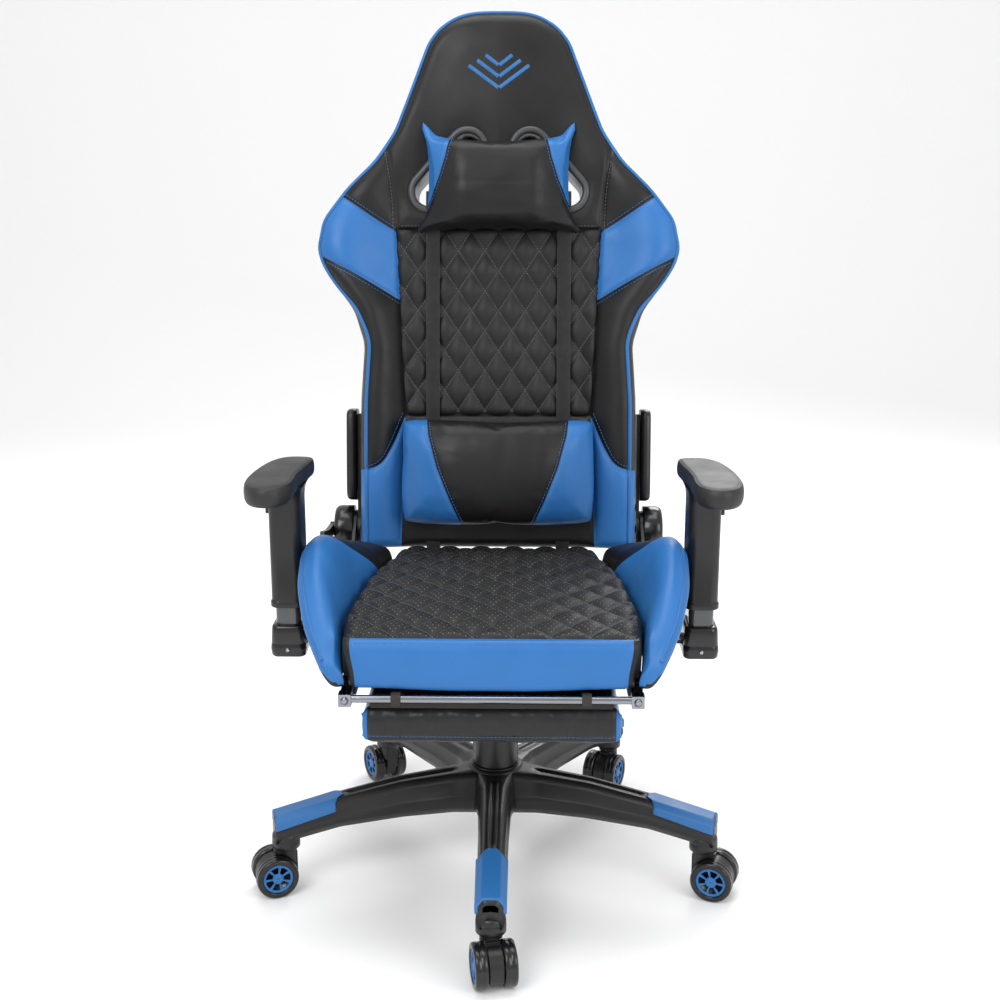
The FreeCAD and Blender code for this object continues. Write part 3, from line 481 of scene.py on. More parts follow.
def end_tree(tree, given, out, geometry):
    real = node(tree, "GeometryNodeRealizeInstances", ((0, geometry),))
    painted = node(tree, "GeometryNodeSetMaterial",
                   ((0, real.outputs[0]), ("Material", given.outputs["Material"])))
    tree.links.new(painted.outputs[0], out.inputs[0])
    return tree


def stitch_tree():
    tree, given, out = geometry_tree("stitches_along_a_seam", (
        ("Pitch", 0.005), ("Length", 0.004), ("Thread", 0.0009), ("Width", 0.0009)))
    curve = node(tree, "GeometryNodeMeshToCurve", ((0, given.outputs[0]),))
    even = node(tree, "GeometryNodeResampleCurve",
                ((0, curve.outputs[0]), ("Length", given.outputs["Pitch"])), mode="LENGTH")
    bead = node(tree, "GeometryNodeMeshUVSphere", (("Segments", 6), ("Rings", 4), ("Radius", 0.5)))
    facing = node(tree, "GeometryNodeInputNamedAttribute", (("Name", "facing"),), data_type="FLOAT_VECTOR")
    along = node(tree, "GeometryNodeInputTangent")
    turn = node(tree, "FunctionNodeAxesToRotation", ((0, along.outputs[0]), (1, facing.outputs[0])),
                primary_axis="Z", secondary_axis="X")
    size = node(tree, "ShaderNodeCombineXYZ", ((0, given.outputs["Thread"]), (1, given.outputs["Width"]),
                                               (2, given.outputs["Length"])))
    beads = node(tree, "GeometryNodeInstanceOnPoints",
                 (("Points", even.outputs[0]), ("Instance", bead.outputs[0]),
                                                        ("Rotation", turn.outputs[0]),
                                                        ("Scale", size.outputs[0])))
    return end_tree(tree, given, out, beads.outputs[0])


def piping_tree():
    tree, given, out = geometry_tree("piping_along_a_seam", (("Radius", 0.0026),))
    curve = node(tree, "GeometryNodeMeshToCurve", ((0, given.outputs[0]),))
    even = node(tree, "GeometryNodeResampleCurve", ((0, curve.outputs[0]), ("Length", 0.005)), mode="LENGTH")
    section = node(tree, "GeometryNodeCurvePrimitiveCircle",
                   (("Resolution", 10), ("Radius", given.outputs["Radius"])))
    swept = node(tree, "GeometryNodeCurveToMesh",
                 ((0, even.outputs[0]), (1, section.outputs[0]), ("Fill Caps", True)))
    return end_tree(tree, given, out, swept.outputs[0])


def dot_tree():
    tree, given, out = geometry_tree("dots_on_points", (("Radius", 0.0008),))
    disc = node(tree, "GeometryNodeMeshIcoSphere", (("Subdivisions", 1), ("Radius", given.outputs["Radius"])))
    facing = node(tree, "GeometryNodeInputNamedAttribute", (("Name", "facing"),), data_type="FLOAT_VECTOR")
    turn = node(tree, "FunctionNodeAlignRotationToVector", (("Vector", facing.outputs[0]),), axis="Z")
    flat = node(tree, "ShaderNodeCombineXYZ", ((0, 1.0), (1, 1.0), (2, 0.3)))
    dots = node(tree, "GeometryNodeInstanceOnPoints",
                (("Points", given.outputs[0]), ("Instance", disc.outputs[0]),
                                                       ("Rotation", turn.outputs[0]),
                                                       ("Scale", flat.outputs[0])))
    return end_tree(tree, given, out, dots.outputs[0])


STITCHES, PIPING, DOTS = stitch_tree(), piping_tree(), dot_tree()


def grown(name, tree, source, material, body, slot, **sizes):
    """Runs a tree on a line mesh and keeps the result as a plain mesh."""
    carrier = bpy.data.objects.new(name + "_lines", source)
    bpy.context.scene.collection.objects.link(carrier)
    modifier = carrier.modifiers.new("nodes", "NODES")
    modifier.node_group = tree
    for item in tree.interface.items_tree:
        if item.in_out == "INPUT" and item.name in sizes:
            modifier[item.identifier] = sizes[item.name]
        elif item.in_out == "INPUT" and item.name == "Material":
            modifier[item.identifier] = material
    graph = bpy.context.evaluated_depsgraph_get()
    mesh = bpy.data.meshes.new_from_object(carrier.evaluated_get(graph), depsgraph=graph)
    mesh.name = name
    bpy.data.objects.remove(carrier)
    return finish_piece(name, mesh, material, body)


def sew(name, lines, body, thread=BLUE_THREAD, pitch=5.2, length=4.2, thick=0.9, wide=None, slot="webbing"):
    return grown(name, STITCHES, line_mesh(name, lines), thread, body, slot, Pitch=pitch * MM,
                 Length=length * MM, Thread=thick * MM, Width=(wide or thick) * MM)


def pipe(name, lines, body, radius=2.6, material=BLUE_HIDE, slot="blue_upholstery"):
    return grown(name, PIPING, line_mesh(name, lines), material, body, slot, Radius=radius * MM)


print("trees:", STITCHES.name, PIPING.name, DOTS.name)
# %% [markdown]
# ## The backrest's front
# The backrest is one moulded foam, 83 cm tall, with two wings that hold the ribs and the shoulders. Its
# cover is sewn from panels: black leather round the head and the sides, blue at the shoulders and
# beside the lumbar pillow, and a quilted panel in the middle. The grid below follows the outline, so
# its rows bunch up where the head narrows.

# %% Outline, wings and seams of the backrest
# height up the back, half width, how far the wings stand forward
BACK_TABLE = ((0.0, 217.0, 16.0), (122.0, 217.0, 24.0), (232.0, 216.0, 28.0), (320.0, 210.0, 30.0),
              (372.0, 226.0, 30.0), (419.0, 261.0, 30.0), (442.0, 275.0, 28.0), (466.0, 282.0, 26.0),
              (511.0, 273.0, 22.0), (557.0, 239.0, 16.0), (603.0, 193.0, 8.0), (649.0, 163.0, 3.0),
              (717.0, 137.0, 0.0), (785.0, 111.0, 0.0), (810.0, 91.0, 0.0), (826.0, 62.0, 0.0),
              (832.0, 32.0, 0.0))
FOAM = 45.0
HOLE_CENTRE, HOLE_HALF, HOLE_RADIUS, HOLE_SLANT = (78.0, 588.0), 44.0, 25.0, math.radians(-48.0)
BACK_TOP, CROWN = 832.0, 20.0
OUTLINE_S = np.concatenate([np.arange(0, 812.0), BACK_TOP - CROWN * np.linspace(1, 0, 90) ** 2])
OUTLINE_W = eased(OUTLINE_S, [row[:2] for row in BACK_TABLE], 9.0)
before, start = np.interp([BACK_TOP - CROWN - 4.0, BACK_TOP - CROWN], OUTLINE_S, OUTLINE_W)
power = (before - start) / 4.0 * CROWN / start
crown = start * ((BACK_TOP - OUTLINE_S) / CROWN) ** power
OUTLINE_W = np.where(OUTLINE_S > BACK_TOP - CROWN, np.maximum(crown, 5.0), OUTLINE_W)
print("crown starts", round(float(start), 1), "mm wide and closes with power", round(float(power), 2))
OUTLINE = np.concatenate([np.stack([OUTLINE_W, OUTLINE_S], 1), np.stack([-OUTLINE_W, OUTLINE_S], 1)[::-1]])
PANEL = np.array([(-160.0, 498.0), (160.0, 498.0), (145.0, 209.0), (-145.0, 209.0)])
LOWER_CURVE = smooth_line([(145, 209), (168, 155), (188, 130), (226, 121)], 24)
SHOULDER_TOP = smooth_line([(160, 494), (196, 516), (262, 560)], 16)
SHOULDER_LOW = smooth_line([(152, 387), (215, 424), (300, 468)], 16)
SIDE_SEAM = smooth_line([(160, 498), (163, 560), (176, 640)], 14)
SHOULDER = np.concatenate([SHOULDER_TOP, [(320, 560), (320, 470)], SHOULDER_LOW[::-1]])
LOWER = np.concatenate([LOWER_CURVE, [(300, 120), (300, -20), (153, -20)]])


def side(line, k):
    return np.asarray(line) * np.array([k, 1.0])


def hole_line(k, count=40, grow=0.0):
    """The slanted slot for a belt, as a closed outline."""
    along = np.array([math.cos(HOLE_SLANT), math.sin(HOLE_SLANT)])
    across = np.array([-along[1], along[0]])
    half = np.linspace(-math.pi / 2, math.pi / 2, count // 2)
    r = HOLE_RADIUS + grow
    end = [HOLE_HALF * along + r * (math.cos(a) * along + math.sin(a) * across) for a in half]
    ring = np.array(end + [-p for p in end]) + np.array(HOLE_CENTRE)
    return ring * np.array([k, 1.0])


def wing(x, s):
    """How far the surface stands forward, before any seam."""
    width, forward = eased(s, BACK_TABLE, 12.0)
    q = np.abs(x) / width
    crest = np.where(q < 0.87, step(q, 0.58, 0.87), np.sqrt(np.clip(1 - ((q - 0.87) / 0.13) ** 2, 0, 1)))
    return forward * crest


BACK_SEAMS = [np.concatenate([PANEL, PANEL[:1]])] + [side(line, k) for k in (-1, 1) for line in (
    LOWER_CURVE, SHOULDER_TOP, SHOULDER_LOW, SIDE_SEAM, [(145, 209), (153, 0)])]


def back_front(x, s):
    """Depth of the cover's front face, with its seams pulled in and its panels full between them."""
    rim = distance_to(x, s, np.concatenate([OUTLINE, OUTLINE[:1]]))
    head = step(s, 560, 700)
    reach = 9.0 + 15.0 * head
    edge = reach - np.sqrt(np.clip(reach ** 2 - np.clip(reach - rim, 0, reach) ** 2, 0, None))
    seam = np.min([distance_to(x, s, line) for line in BACK_SEAMS], axis=0)
    seam = np.minimum(seam, np.abs(inside(x, s, hole_line(1))))
    seam = np.minimum(seam, np.abs(inside(x, s, hole_line(-1))))
    full = 5.0 * (1 - np.exp(-seam / 16.0)) - 3.2 * np.exp(-(seam / 2.6) ** 2)
    cover = np.stack([x, s, np.zeros_like(x)], -1)
    soft = 0.9 * ruffle(cover, 55.0) + 0.5 * np.exp(-seam / 12.0) * ruffle(cover, 9.0, 3.0)
    under_panel = step(inside(x, s, PANEL), -1.0, 2.0)
    crown = -7.0 * head * np.exp(-(x / 85.0) ** 2)
    return (edge - wing(x, s) - (full + soft) * step(rim, 0, 14) + 9.0 * under_panel
            + crown * step(rim, 0, 60) + 1.0)


# %% The cover as a closed form
def outline_rows(spacing):
    """Heights up the back whose rows are evenly spaced along the outline."""
    length = np.concatenate([[0], np.cumsum(np.hypot(np.diff(OUTLINE_W), np.diff(OUTLINE_S)))])
    return np.interp(np.linspace(0, length[-1], int(length[-1] / spacing)), length, OUTLINE_S)


rows = outline_rows(3.2)
across = np.linspace(-1, 1, 171)
s = np.repeat(rows[:, None], len(across), 1)
width = np.interp(s, OUTLINE_S, OUTLINE_W)
FLAT_SHARE = 0.9
u = np.repeat(across[None, :], len(rows), 0)
x = np.clip(u / FLAT_SHARE, -1, 1) * (width - 0.6)
front_t = back_front(x, s)
t = front_t + (FOAM - 0.3 - front_t) * np.clip((np.abs(u) - FLAT_SHARE) / (1 - FLAT_SHARE), 0, 1)
keep = np.ones((len(rows) - 1, len(across) - 1), bool)
mid_x, mid_s = (x[:-1, :-1] + x[1:, 1:]) / 2, (s[:-1, :-1] + s[1:, 1:]) / 2
for k in (-1, 1):
    keep &= inside(mid_x, mid_s, hole_line(k, grow=2.0)) < 0
front = back(np.stack([x, t, s], -1))
rear = back(np.stack([x * np.where(np.abs(u) > 0.97, 0.995, 1.0), np.full_like(x, FOAM - 0.3), s], -1))
mesh = slab("back_cover", front, rear, keep)
p = to_back(design_points(mesh))
ax = np.abs(p[:, 0])
tone = np.maximum(inside(ax, p[:, 2], SHOULDER), inside(ax, p[:, 2], LOWER))
tone = np.where(p[:, 1] > 14.0, -np.abs(tone) - 1, tone)
store(mesh, "tone", tone)
back_cover = finish_piece("back_cover", mesh, TWO_TONE, "backrest", "back_cushion")

# %% [markdown]
# ## The quilted panel
# Quilting sews leather and a thin wadding together along crossing lines, and each diamond between them
# swells. The panel is its own grid, and its height follows a rule made from the diamonds' size.

# %% Quilting, with its thread
DIAMOND = (42.0, 62.0)


def quilting(x, y, size, puff):
    """Height of a quilted surface: low along the sewn lines, full between them."""
    w, h = size
    slope = math.hypot(1 / w, 1 / h)
    height = np.full(np.shape(x), puff)
    for k in (-1, 1):
        turns = x / w + k * y / h
        gap = np.abs(turns - np.round(turns)) / slope
        height = height * (1 - np.exp(-np.sqrt(gap ** 2 + 0.8) / 6.0))
    return height


def quilt_lines(size, low, high, half, spacing=3.0):
    """The sewn lines, as x, y points inside a strip |x| < half, low < y < high."""
    w, h = size
    lines = []
    for k in (-1, 1):
        first = math.floor(-half / w + min(k * low, k * high) / h)
        last = math.ceil(half / w + max(k * low, k * high) / h)
        for number in range(first, last + 1):
            y = np.arange(low, high, spacing)
            x = w * (number - k * y / h)
            lines.append(np.stack([x, y], 1))
    return lines


def panel_half(s):
    return 145.0 + (np.asarray(s) - 209.0) / 289.0 * 15.0


def panel_depth(x, s):
    gap = np.minimum(panel_half(s) - np.abs(x), np.minimum(s - 209.0, 498.0 - s))
    under_strap = 2.4 * np.exp(-((np.abs(x) - 102.0) / 13.0) ** 2)
    return 6.5 + under_strap - quilting(x, s, DIAMOND,
                                        8.0) - 1.6 * (1 - np.exp(-gap / 18.0)) + 4.0 * np.exp(-gap / 3.0)


s, u = np.meshgrid(np.linspace(209.0, 498.0, 121), np.linspace(-1, 1, 133), indexing="ij")
x = u * panel_half(s)
front = back(np.stack([x, panel_depth(x, s) - wing(x, s), s], -1))
rear = back(np.stack([x, np.full_like(x, 14.0), s], -1))
back_quilt = finish_piece("back_quilt", slab("back_quilt", front, rear), QUILT_HIDE, "backrest", ())
TO_BACK = Vector((0.0, math.cos(LEAN), -math.sin(LEAN)))


def back_lines(lines, piece, lift=0.2, before=-80.0):
    """Seam lines in x, s, laid on a piece of the backrest from in front."""
    laid = []
    for line in lines:
        line = np.asarray(line, float)
        places = back(np.stack([line[:, 0], np.full(len(line), before), line[:, 1]], -1))
        laid.append(laid_on(piece, places, TO_BACK, lift))
    return [pair for pair in laid if len(pair[0]) > 2]


def clipped(lines, half_at, low, high, margin):
    """The runs of each line that lie inside the panel."""
    runs = []
    for line in lines:
        ok = ((np.abs(line[:, 0]) < half_at(line[:, 1]) - margin) & (line[:, 1] > low + margin)
              & (line[:, 1] < high - margin))
        if ok.sum() > 2:
            runs.append(line[ok])
    return runs


quilt_runs = clipped(quilt_lines(DIAMOND, 209.0, 498.0, 165.0), panel_half, 209.0, 498.0, 4.0)
sew("back_quilt_thread", back_lines(quilt_runs, back_quilt, 0.1), "backrest", GREY_THREAD, 4.6, 3.7, 0.75)


def resampled(line, spacing):
    line = np.asarray(line, float)
    length = np.concatenate([[0], np.cumsum(np.hypot(*np.diff(line, axis=0).T))])
    at = np.linspace(0, length[-1], max(3, int(length[-1] / spacing)))
    return np.stack([np.interp(at, length, line[:, k]) for k in (0, 1)], 1)


def shifted(line, by):
    """The same line, moved sideways."""
    line = np.asarray(line, float)
    way = np.gradient(line, axis=0)
    way /= np.linalg.norm(way, axis=1, keepdims=True)
    return line + by * np.stack([-way[:, 1], way[:, 0]], 1)


def within(line, inset=9.0):
    width = np.interp(line[:, 1], OUTLINE_S, OUTLINE_W)
    return line[np.abs(line[:, 0]) < width - inset]


top_stitch = [side(within(shifted(resampled(line, 3.0), by)), k) for k in (-1, 1) for line, by in (
    (SHOULDER_TOP, 5.0), (SHOULDER_LOW, -5.0), (LOWER_CURVE, 5.0))]
sew("back_seam_thread", back_lines(top_stitch, back_cover), "backrest")
dark_stitch = [shifted(resampled([(-150, 498), (150, 498)], 3.0), 4.5)]
dark_stitch += [side(shifted(resampled(SIDE_SEAM, 3.0), -4.0), k) for k in (-1, 1)]
sew("back_dark_thread", back_lines(dark_stitch, back_cover), "backrest", GREY_THREAD)

# %% Piping round the backrest
edge_s = outline_rows(4.0)
half = np.array([(np.interp(v, OUTLINE_S, OUTLINE_W), v) for v in edge_s])
way = np.gradient(half, axis=0)
inward = np.stack([-way[:, 1], way[:, 0]], 1) / np.linalg.norm(way, axis=1, keepdims=True)
ring = half + inward * (4.0 + 8.0 * step(-half[:, 1], -410, -330))[:, None]
ring = ring[ring[:, 0] > 1.0]
right = back_front(ring[:, 0], ring[:, 1])
edge = np.stack([ring[:, 0], right - 0.6, ring[:, 1]], -1)
edge = np.concatenate([edge, (edge * np.array([-1, 1, 1]))[::-1]])
facing = [tuple(-TO_BACK)] * len(edge)
pipe("back_piping", [(chair(back(edge)), facing)], "backrest", 3.1)

# %% [markdown]
# ## The backrest's rear shell
# Behind, the cover wraps the foam's back in plain black leather, with a seam down each side, a yoke
# seam across the shoulders and a zip along the lower edge. Its grid runs from one side round the back
# to the other.

# %% Rear shell
REAR_TABLE = ((0.0, 86.0), (122.0, 88.0), (419.0, 88.0), (466.0, 84.0), (649.0, 82.0), (717.0, 78.0),
              (785.0, 72.0),
              (810.0, 68.0), (826.0, 61.0), (832.0, 54.0))
rows = outline_rows(5.0)
across = np.linspace(-1, 1, 121)
s = np.repeat(rows[:, None], len(across), 1)
u = np.repeat(across[None, :], len(rows), 0)
width = np.interp(s, OUTLINE_S, OUTLINE_W) - 0.6
depth = eased(s, REAR_TABLE, 8.0)
turn = np.minimum(26.0, 0.3 * width)
REAR_SHARE = 0.8
corner = np.clip((np.abs(u) - REAR_SHARE) / (0.92 - REAR_SHARE), 0, 1)
wall = np.clip((np.abs(u) - 0.92) / 0.08, 0, 1)
flat_x = np.clip(np.abs(u) / REAR_SHARE, 0, 1) * (width - turn)
x = np.sign(u) * (flat_x + turn * np.sin(corner * math.pi / 2))
fall = np.minimum(turn * 0.8, depth - FOAM - 4)
t = depth - fall * (1 - np.cos(corner * math.pi / 2))
t = t + (FOAM + 0.3 - t) * wall
REAR_SEAMS = [np.array([(-300.0, 520.0), (300.0, 520.0)]), np.array([(-300.0, 60.0), (300.0, 60.0)]),
              side([(150, 60), (158, 520)], 1), side([(150, 60), (158, 520)], -1)]
seam = np.min([distance_to(x, s, line) for line in REAR_SEAMS], axis=0)
cover = np.stack([x, s, u], -1)
full = 2.0 * (1 - np.exp(-seam / 14.0)) - 2.2 * np.exp(-(seam / 2.6) ** 2) + 0.8 * ruffle(cover, 70.0, 5.0)
t = t - 1.2 + full * (1 - wall) * step(832 - s, 0, 12)
keep = np.ones((len(rows) - 1, len(across) - 1), bool)
mid_x, mid_s = (x[:-1, :-1] + x[1:, 1:]) / 2, (s[:-1, :-1] + s[1:, 1:]) / 2
for k in (-1, 1):
    keep &= inside(mid_x, mid_s, hole_line(k, grow=2.0)) < 0
outer = back(np.stack([x, t, s], -1))
inner = back(np.stack([
    np.clip(u / REAR_SHARE, -1, 1) * (width - turn)
    + np.sign(u) * turn * np.clip((np.abs(u) - REAR_SHARE) / 0.2, 0, 1),
    np.full_like(x, FOAM + 0.3), s], -1))
back_rear = finish_piece("back_rear", slab("back_rear", inner, outer, keep), BLACK_HIDE, "backrest",
                         "back_shell")
rear_stitch = [resampled(line, 3.0) for line in ([(-200, 524), (-130, 524)], [(130, 524), (200, 524)],
                                                 [(-145, 524), (145, 524)],
                                                 [(154, 64), (162, 516)], [(-154, 64), (-162, 516)],
                                                 [(-180, 56), (180, 56)])]
laid = [laid_on(back_rear, back(np.stack([l[:, 0], np.full(len(l), 160.0), l[:, 1]], -1)), -TO_BACK,
                0.2) for l in rear_stitch]
sew("rear_seam_thread", [l for l in laid if len(l[0]) > 2], "backrest", BLUE_THREAD)
# %% [markdown]
# ## The seat
# The seat's top is one quilted and perforated panel over thick foam, a little crowned. Its front face
# is a separate strip of blue leather that bulges, folds under at the bottom, and ends in a narrow black
# strip at each side.

# %% Seat top
# y, half width, top
SEAT_TABLE = ((-276.0, 181.0, 436.0), (-268.0, 188.0, 446.0), (-165.0, 199.0, 447.0), (0.0, 187.0, 444.0),
              (100.0, 168.0, 441.0), (176.0, 150.0, 438.0), (184.0, 147.0, 431.0))
SEAT_DIAMOND = (50.0, 66.0)
TOP_FRONT, TOP_REAR = -264.0, 183.0


def seat_half(y):
    return eased(y, [row[:2] for row in SEAT_TABLE], 12.0) - 0.5


def seat_height(x, y):
    base = eased(y, [(row[0], row[2]) for row in SEAT_TABLE], 6.0)
    gap = np.minimum(seat_half(y) - np.abs(x), np.minimum(y - TOP_FRONT, TOP_REAR - y))
    roll = 16.0 * (1 - np.sqrt(np.clip(1 - np.clip(1 - gap / 16.0, 0, 1) ** 2, 0, 1)))
    crown = 4.0 * np.exp(-(x / 110.0) ** 2) * step(gap, 0, 90)
    sag = 2.0 * ruffle(np.stack([x, y, 0 * x], -1), 90.0)
    return (base - 5.0 + quilting(x, y + 20.0, SEAT_DIAMOND, 8.0) * step(gap, -2, 10) - roll + crown
            + sag * step(gap, 0, 40))


y, u = np.meshgrid(np.linspace(TOP_REAR, TOP_FRONT, 151), np.linspace(-1, 1, 161), indexing="ij")
TOP_SHARE = 0.93
x = np.clip(u / TOP_SHARE, -1, 1) * seat_half(y)
z = seat_height(x, y)
z = z + (396.0 - z) * np.clip((np.abs(u) - TOP_SHARE) / (1 - TOP_SHARE), 0, 1)
z[0] = 396.0
top = np.stack([x, y, z], -1)
under = np.stack([x * 0.995, y, np.full_like(x, 393.2)], -1)
seat_quilt = finish_piece("seat_quilt", slab("seat_quilt", top, under), QUILT_HIDE, "seat", "seat_cushion")

DOWN = (0.0, 0.0, -1.0)


def seat_lines(lines, piece, lift=0.1):
    laid = [laid_on(piece, np.column_stack([line, np.full(len(line), 600.0)]), DOWN, lift) for line in lines]
    return [pair for pair in laid if len(pair[0]) > 2]


seat_runs = [line - np.array([0.0, 20.0])
             for line in quilt_lines(SEAT_DIAMOND, TOP_FRONT + 20.0, TOP_REAR + 20.0, 205.0)]
seat_runs = clipped(seat_runs, seat_half, TOP_FRONT, TOP_REAR, 6.0)
sew("seat_quilt_thread", seat_lines(seat_runs, seat_quilt), "seat", GREY_THREAD, 4.8, 3.8, 0.75)

# %% Perforations
HOLE_STEP = 7.2
grid = [(HOLE_STEP * (i + 0.5 * (j % 2)), HOLE_STEP * 0.9 * j)
        for j in range(-40, 30) for i in range(-28, 28)]
grid = np.array([p for p in grid if TOP_FRONT + 8 < p[1] < TOP_REAR - 8 and abs(p[0]) < seat_half(p[1]) - 7])
slope = math.hypot(1 / SEAT_DIAMOND[0], 1 / SEAT_DIAMOND[1])
for k in (-1, 1):
    turns = grid[:, 0] / SEAT_DIAMOND[0] + k * (grid[:, 1] + 20.0) / SEAT_DIAMOND[1]
    grid = grid[np.abs(turns - np.round(turns)) / slope > 3.2]
places, ways = laid_on(seat_quilt, np.column_stack([grid, np.full(len(grid), 600.0)]), DOWN, 0.0)
grown("seat_perforations", DOTS, line_mesh("holes", [([p], [w]) for p, w in zip(places, ways)]), PALE_HOLES,
      "seat",
      "black_upholstery", Radius=0.7 * MM)

# %% Seat front
profile = smooth_line([(-262, 443), (-270, 441), (-275.6, 428), (-276, 408), (-276, 392), (-274, 380),
                       (-267, 375.6), (-254, 375.2)], 48)
u = np.linspace(-1, 1, 141)
v, u = np.meshgrid(np.arange(len(profile)), u, indexing="ij")
fy, fz = profile[v, 0], profile[v, 1]
half = 187.0 - 7.0 * step(440 - fz, 0, 60)
x = u * half
end = np.clip((np.abs(u) - 0.94) / 0.06, 0, 1)
strip_seam = np.abs(np.abs(x) - (half - 9.0))
fy = fy + 7.0 * end ** 2 + 1.8 * np.exp(-(strip_seam / 2.5) ** 2)
cover = np.stack([x, fz, fy], -1)
fy = fy + 0.8 * ruffle(cover, 60.0) + 0.5 * ruffle(cover, 12.0) * step(np.abs(x), 120, 180)
fy = np.maximum(fy, -276.4)
fz = fz + 4.0 * step(np.abs(u), 0.2, 1.0) * step(420 - fz, 0, 40)
front = np.stack([x, fy, fz], -1)
rear = np.stack([x, np.full_like(x, -253.0), np.clip(fz, 376.2, 440.0)], -1)
mesh = slab("seat_front", front, rear)
p = design_points(mesh)
store(mesh, "tone", 178.0 - 6.0 * step(440 - p[:, 2], 0, 50) - np.abs(p[:, 0]))
seat_front = finish_piece("seat_front", mesh, TWO_TONE, "seat", ())
edge = np.stack([np.linspace(-176, 176, 120), np.full(120, -300.0), np.full(120, 439.5)], -1)
front_edge = [laid_on(seat_front, edge, (0.0, 1.0, 0.0), 0.2)]
sew("seat_front_thread", front_edge, "seat", BLUE_THREAD)

# %% [markdown]
# ## Side bolsters
# Each side of the seat rises into a bolster, blue where it faces the sitter and black outside and
# behind. A piping follows its crest. The form is a row of rounded sections, and the colour boundary
# comes from each point's place in its section.

# %% Bolsters
# y, top (x, z), outermost (x, z), bottom outer x
BOLSTER_TABLE = ((-276.0, 206.0, 408.0, 212.0, 398.0, 200.0), (-225.0, 226.0, 456.0, 240.0, 432.0, 214.0),
                 (-165.0, 239.0, 500.0, 257.0, 468.0, 226.0), (-105.0, 243.0, 524.0, 261.0, 488.0, 232.0),
                 (-50.0, 245.0, 518.0, 262.0, 484.0, 234.0), (20.0, 246.0, 498.0, 262.0, 470.0, 235.0),
                 (90.0, 236.0, 472.0, 252.0, 452.0, 230.0), (150.0, 214.0, 452.0, 222.0, 438.0, 212.0))
BOLSTER_BOTTOM = 382.0
AROUND = 96
CREST_AT, FOLD_AT = 3.1, 2.0


def bolster_corners(y):
    top_x, top_z, out_x, out_z, foot_x = (float(c) for c in eased(y, BOLSTER_TABLE, 16.0))
    inner = float(eased(y, [row[:2] for row in SEAT_TABLE], 6.0)) + 1.2
    lift = step(y, -276, -240)
    low = 434 - 30 * (1 - lift)
    return [(inner, BOLSTER_BOTTOM), (foot_x, BOLSTER_BOTTOM), (out_x, out_z),
            (out_x - 3, (out_z + top_z) / 2 + 6),
            (top_x - 3, top_z), (inner + 0.52 * (top_x - inner), low + 0.84 * (top_z - low)),
            (inner + 7, low + 0.34 * (top_z - low)), (inner, 396 + 14 * lift)]


section_at = np.linspace(0, 8, AROUND, endpoint=False)
ys = np.linspace(-276.0, 150.0, 120)
rings = []
for y in ys:
    ring = smooth_line(bolster_corners(y), AROUND, closed=True)
    gap = min(y + 276.0, 150.0 - y)
    ring_centre = ring.mean(0)
    round_off = 0.72 + 0.28 * math.sqrt(max(0.0, 1 - max(0.0, 1 - gap / 14.0) ** 2))
    ring = ring_centre + (ring - ring_centre) * round_off
    ring[:, 0] = np.maximum(ring[:, 0], float(seat_half(y)) + 1.0)
    rings.append(np.stack([ring[:, 0], np.full(AROUND, y), ring[:, 1]], -1))
rings = np.array(rings)
sections = np.repeat(section_at[None, :], len(ys), 0)
centre = rings.mean(1, keepdims=True)
crest_gap = np.abs(sections - CREST_AT)
outward = (rings - centre) / np.maximum(np.linalg.norm(rings - centre, axis=2, keepdims=True), 1)
swell = (0.7 * ruffle(rings, 60.0) + 0.35 * ruffle(rings, 18.0) * step(sections, 5, 7)
         - 2.0 * np.exp(-(crest_gap / 0.09) ** 2))
swell = swell - 1.8 * np.exp(-((sections - FOLD_AT) / 0.07) ** 2)
rings = rings + outward * (
    swell * step(np.minimum(rings[..., 1] + 276, 150 - rings[..., 1]), 0, 20))[..., None]


def bolster(name, k, node_name):
    ring_set = rings * np.array([k, 1, 1])
    mesh = closed_rows(name, ring_set)
    p = design_points(mesh)
    places = kdtree.KDTree(sections.size)
    for number, q in enumerate(ring_set.reshape(-1, 3)):
        places.insert(q, number)
    places.balance()
    at = sections.ravel()[[places.find(q)[1] for q in p]]
    outside = (at - FOLD_AT) * 30.0
    outside = np.where(at < 0.5, (at + 0.02) * -10, outside)
    behind = ((60.0 - p[:, 1]) * 85.0 - (p[:, 2] - 440.0) * 100.0) / 131.0
    store(mesh, "tone", np.minimum(outside, behind))
    return finish_piece(name, mesh, TWO_TONE, "seat", node_name)


for name, k in (("left", 1), ("right", -1)):
    bolster(f"bolster_{name}", k, f"seat_bolster_{name}")
    column = int(np.argmin(np.abs(section_at - CREST_AT)))
    crest = rings[2:92, column] * np.array([k, 1, 1])
    pipe(f"bolster_piping_{name}", [(chair(crest), [(k, 0.0, 0.3)] * len(crest))], "seat", 2.4)

# %% [markdown]
# ## Pillows, blown up as cloth
# A pillow is two panels sewn round their edge and stuffed, so its shape comes from cloth under
# pressure: full in the middle, pulled thin and a little wrinkled at the corners. Blender's cloth does
# that. The start is a shallow form, remeshed into even squares, and no point may move further than a
# cap, so that it stays in its own space.

# %% Level-line forms and the cloth step
def domed(name, outline, spine, profile, place, height=None):
    """Rings that shrink from an outline towards a spine, at the heights of a profile."""
    outline, spine = np.asarray(outline, float), np.asarray(spine, float)
    start, run = spine[0], spine[-1] - spine[0]
    share = np.clip(((outline - start) @ run) / max(run @ run, 1e-9), 0, 1)
    core = start + share[:, None] * run
    rings = []
    for f, h in profile:
        ring = core + (outline - core) * f
        tall = h * (np.ones(len(ring)) if height is None else height(ring))
        rings.append(place(np.column_stack([ring, tall])))
    return closed_rows(name, rings)


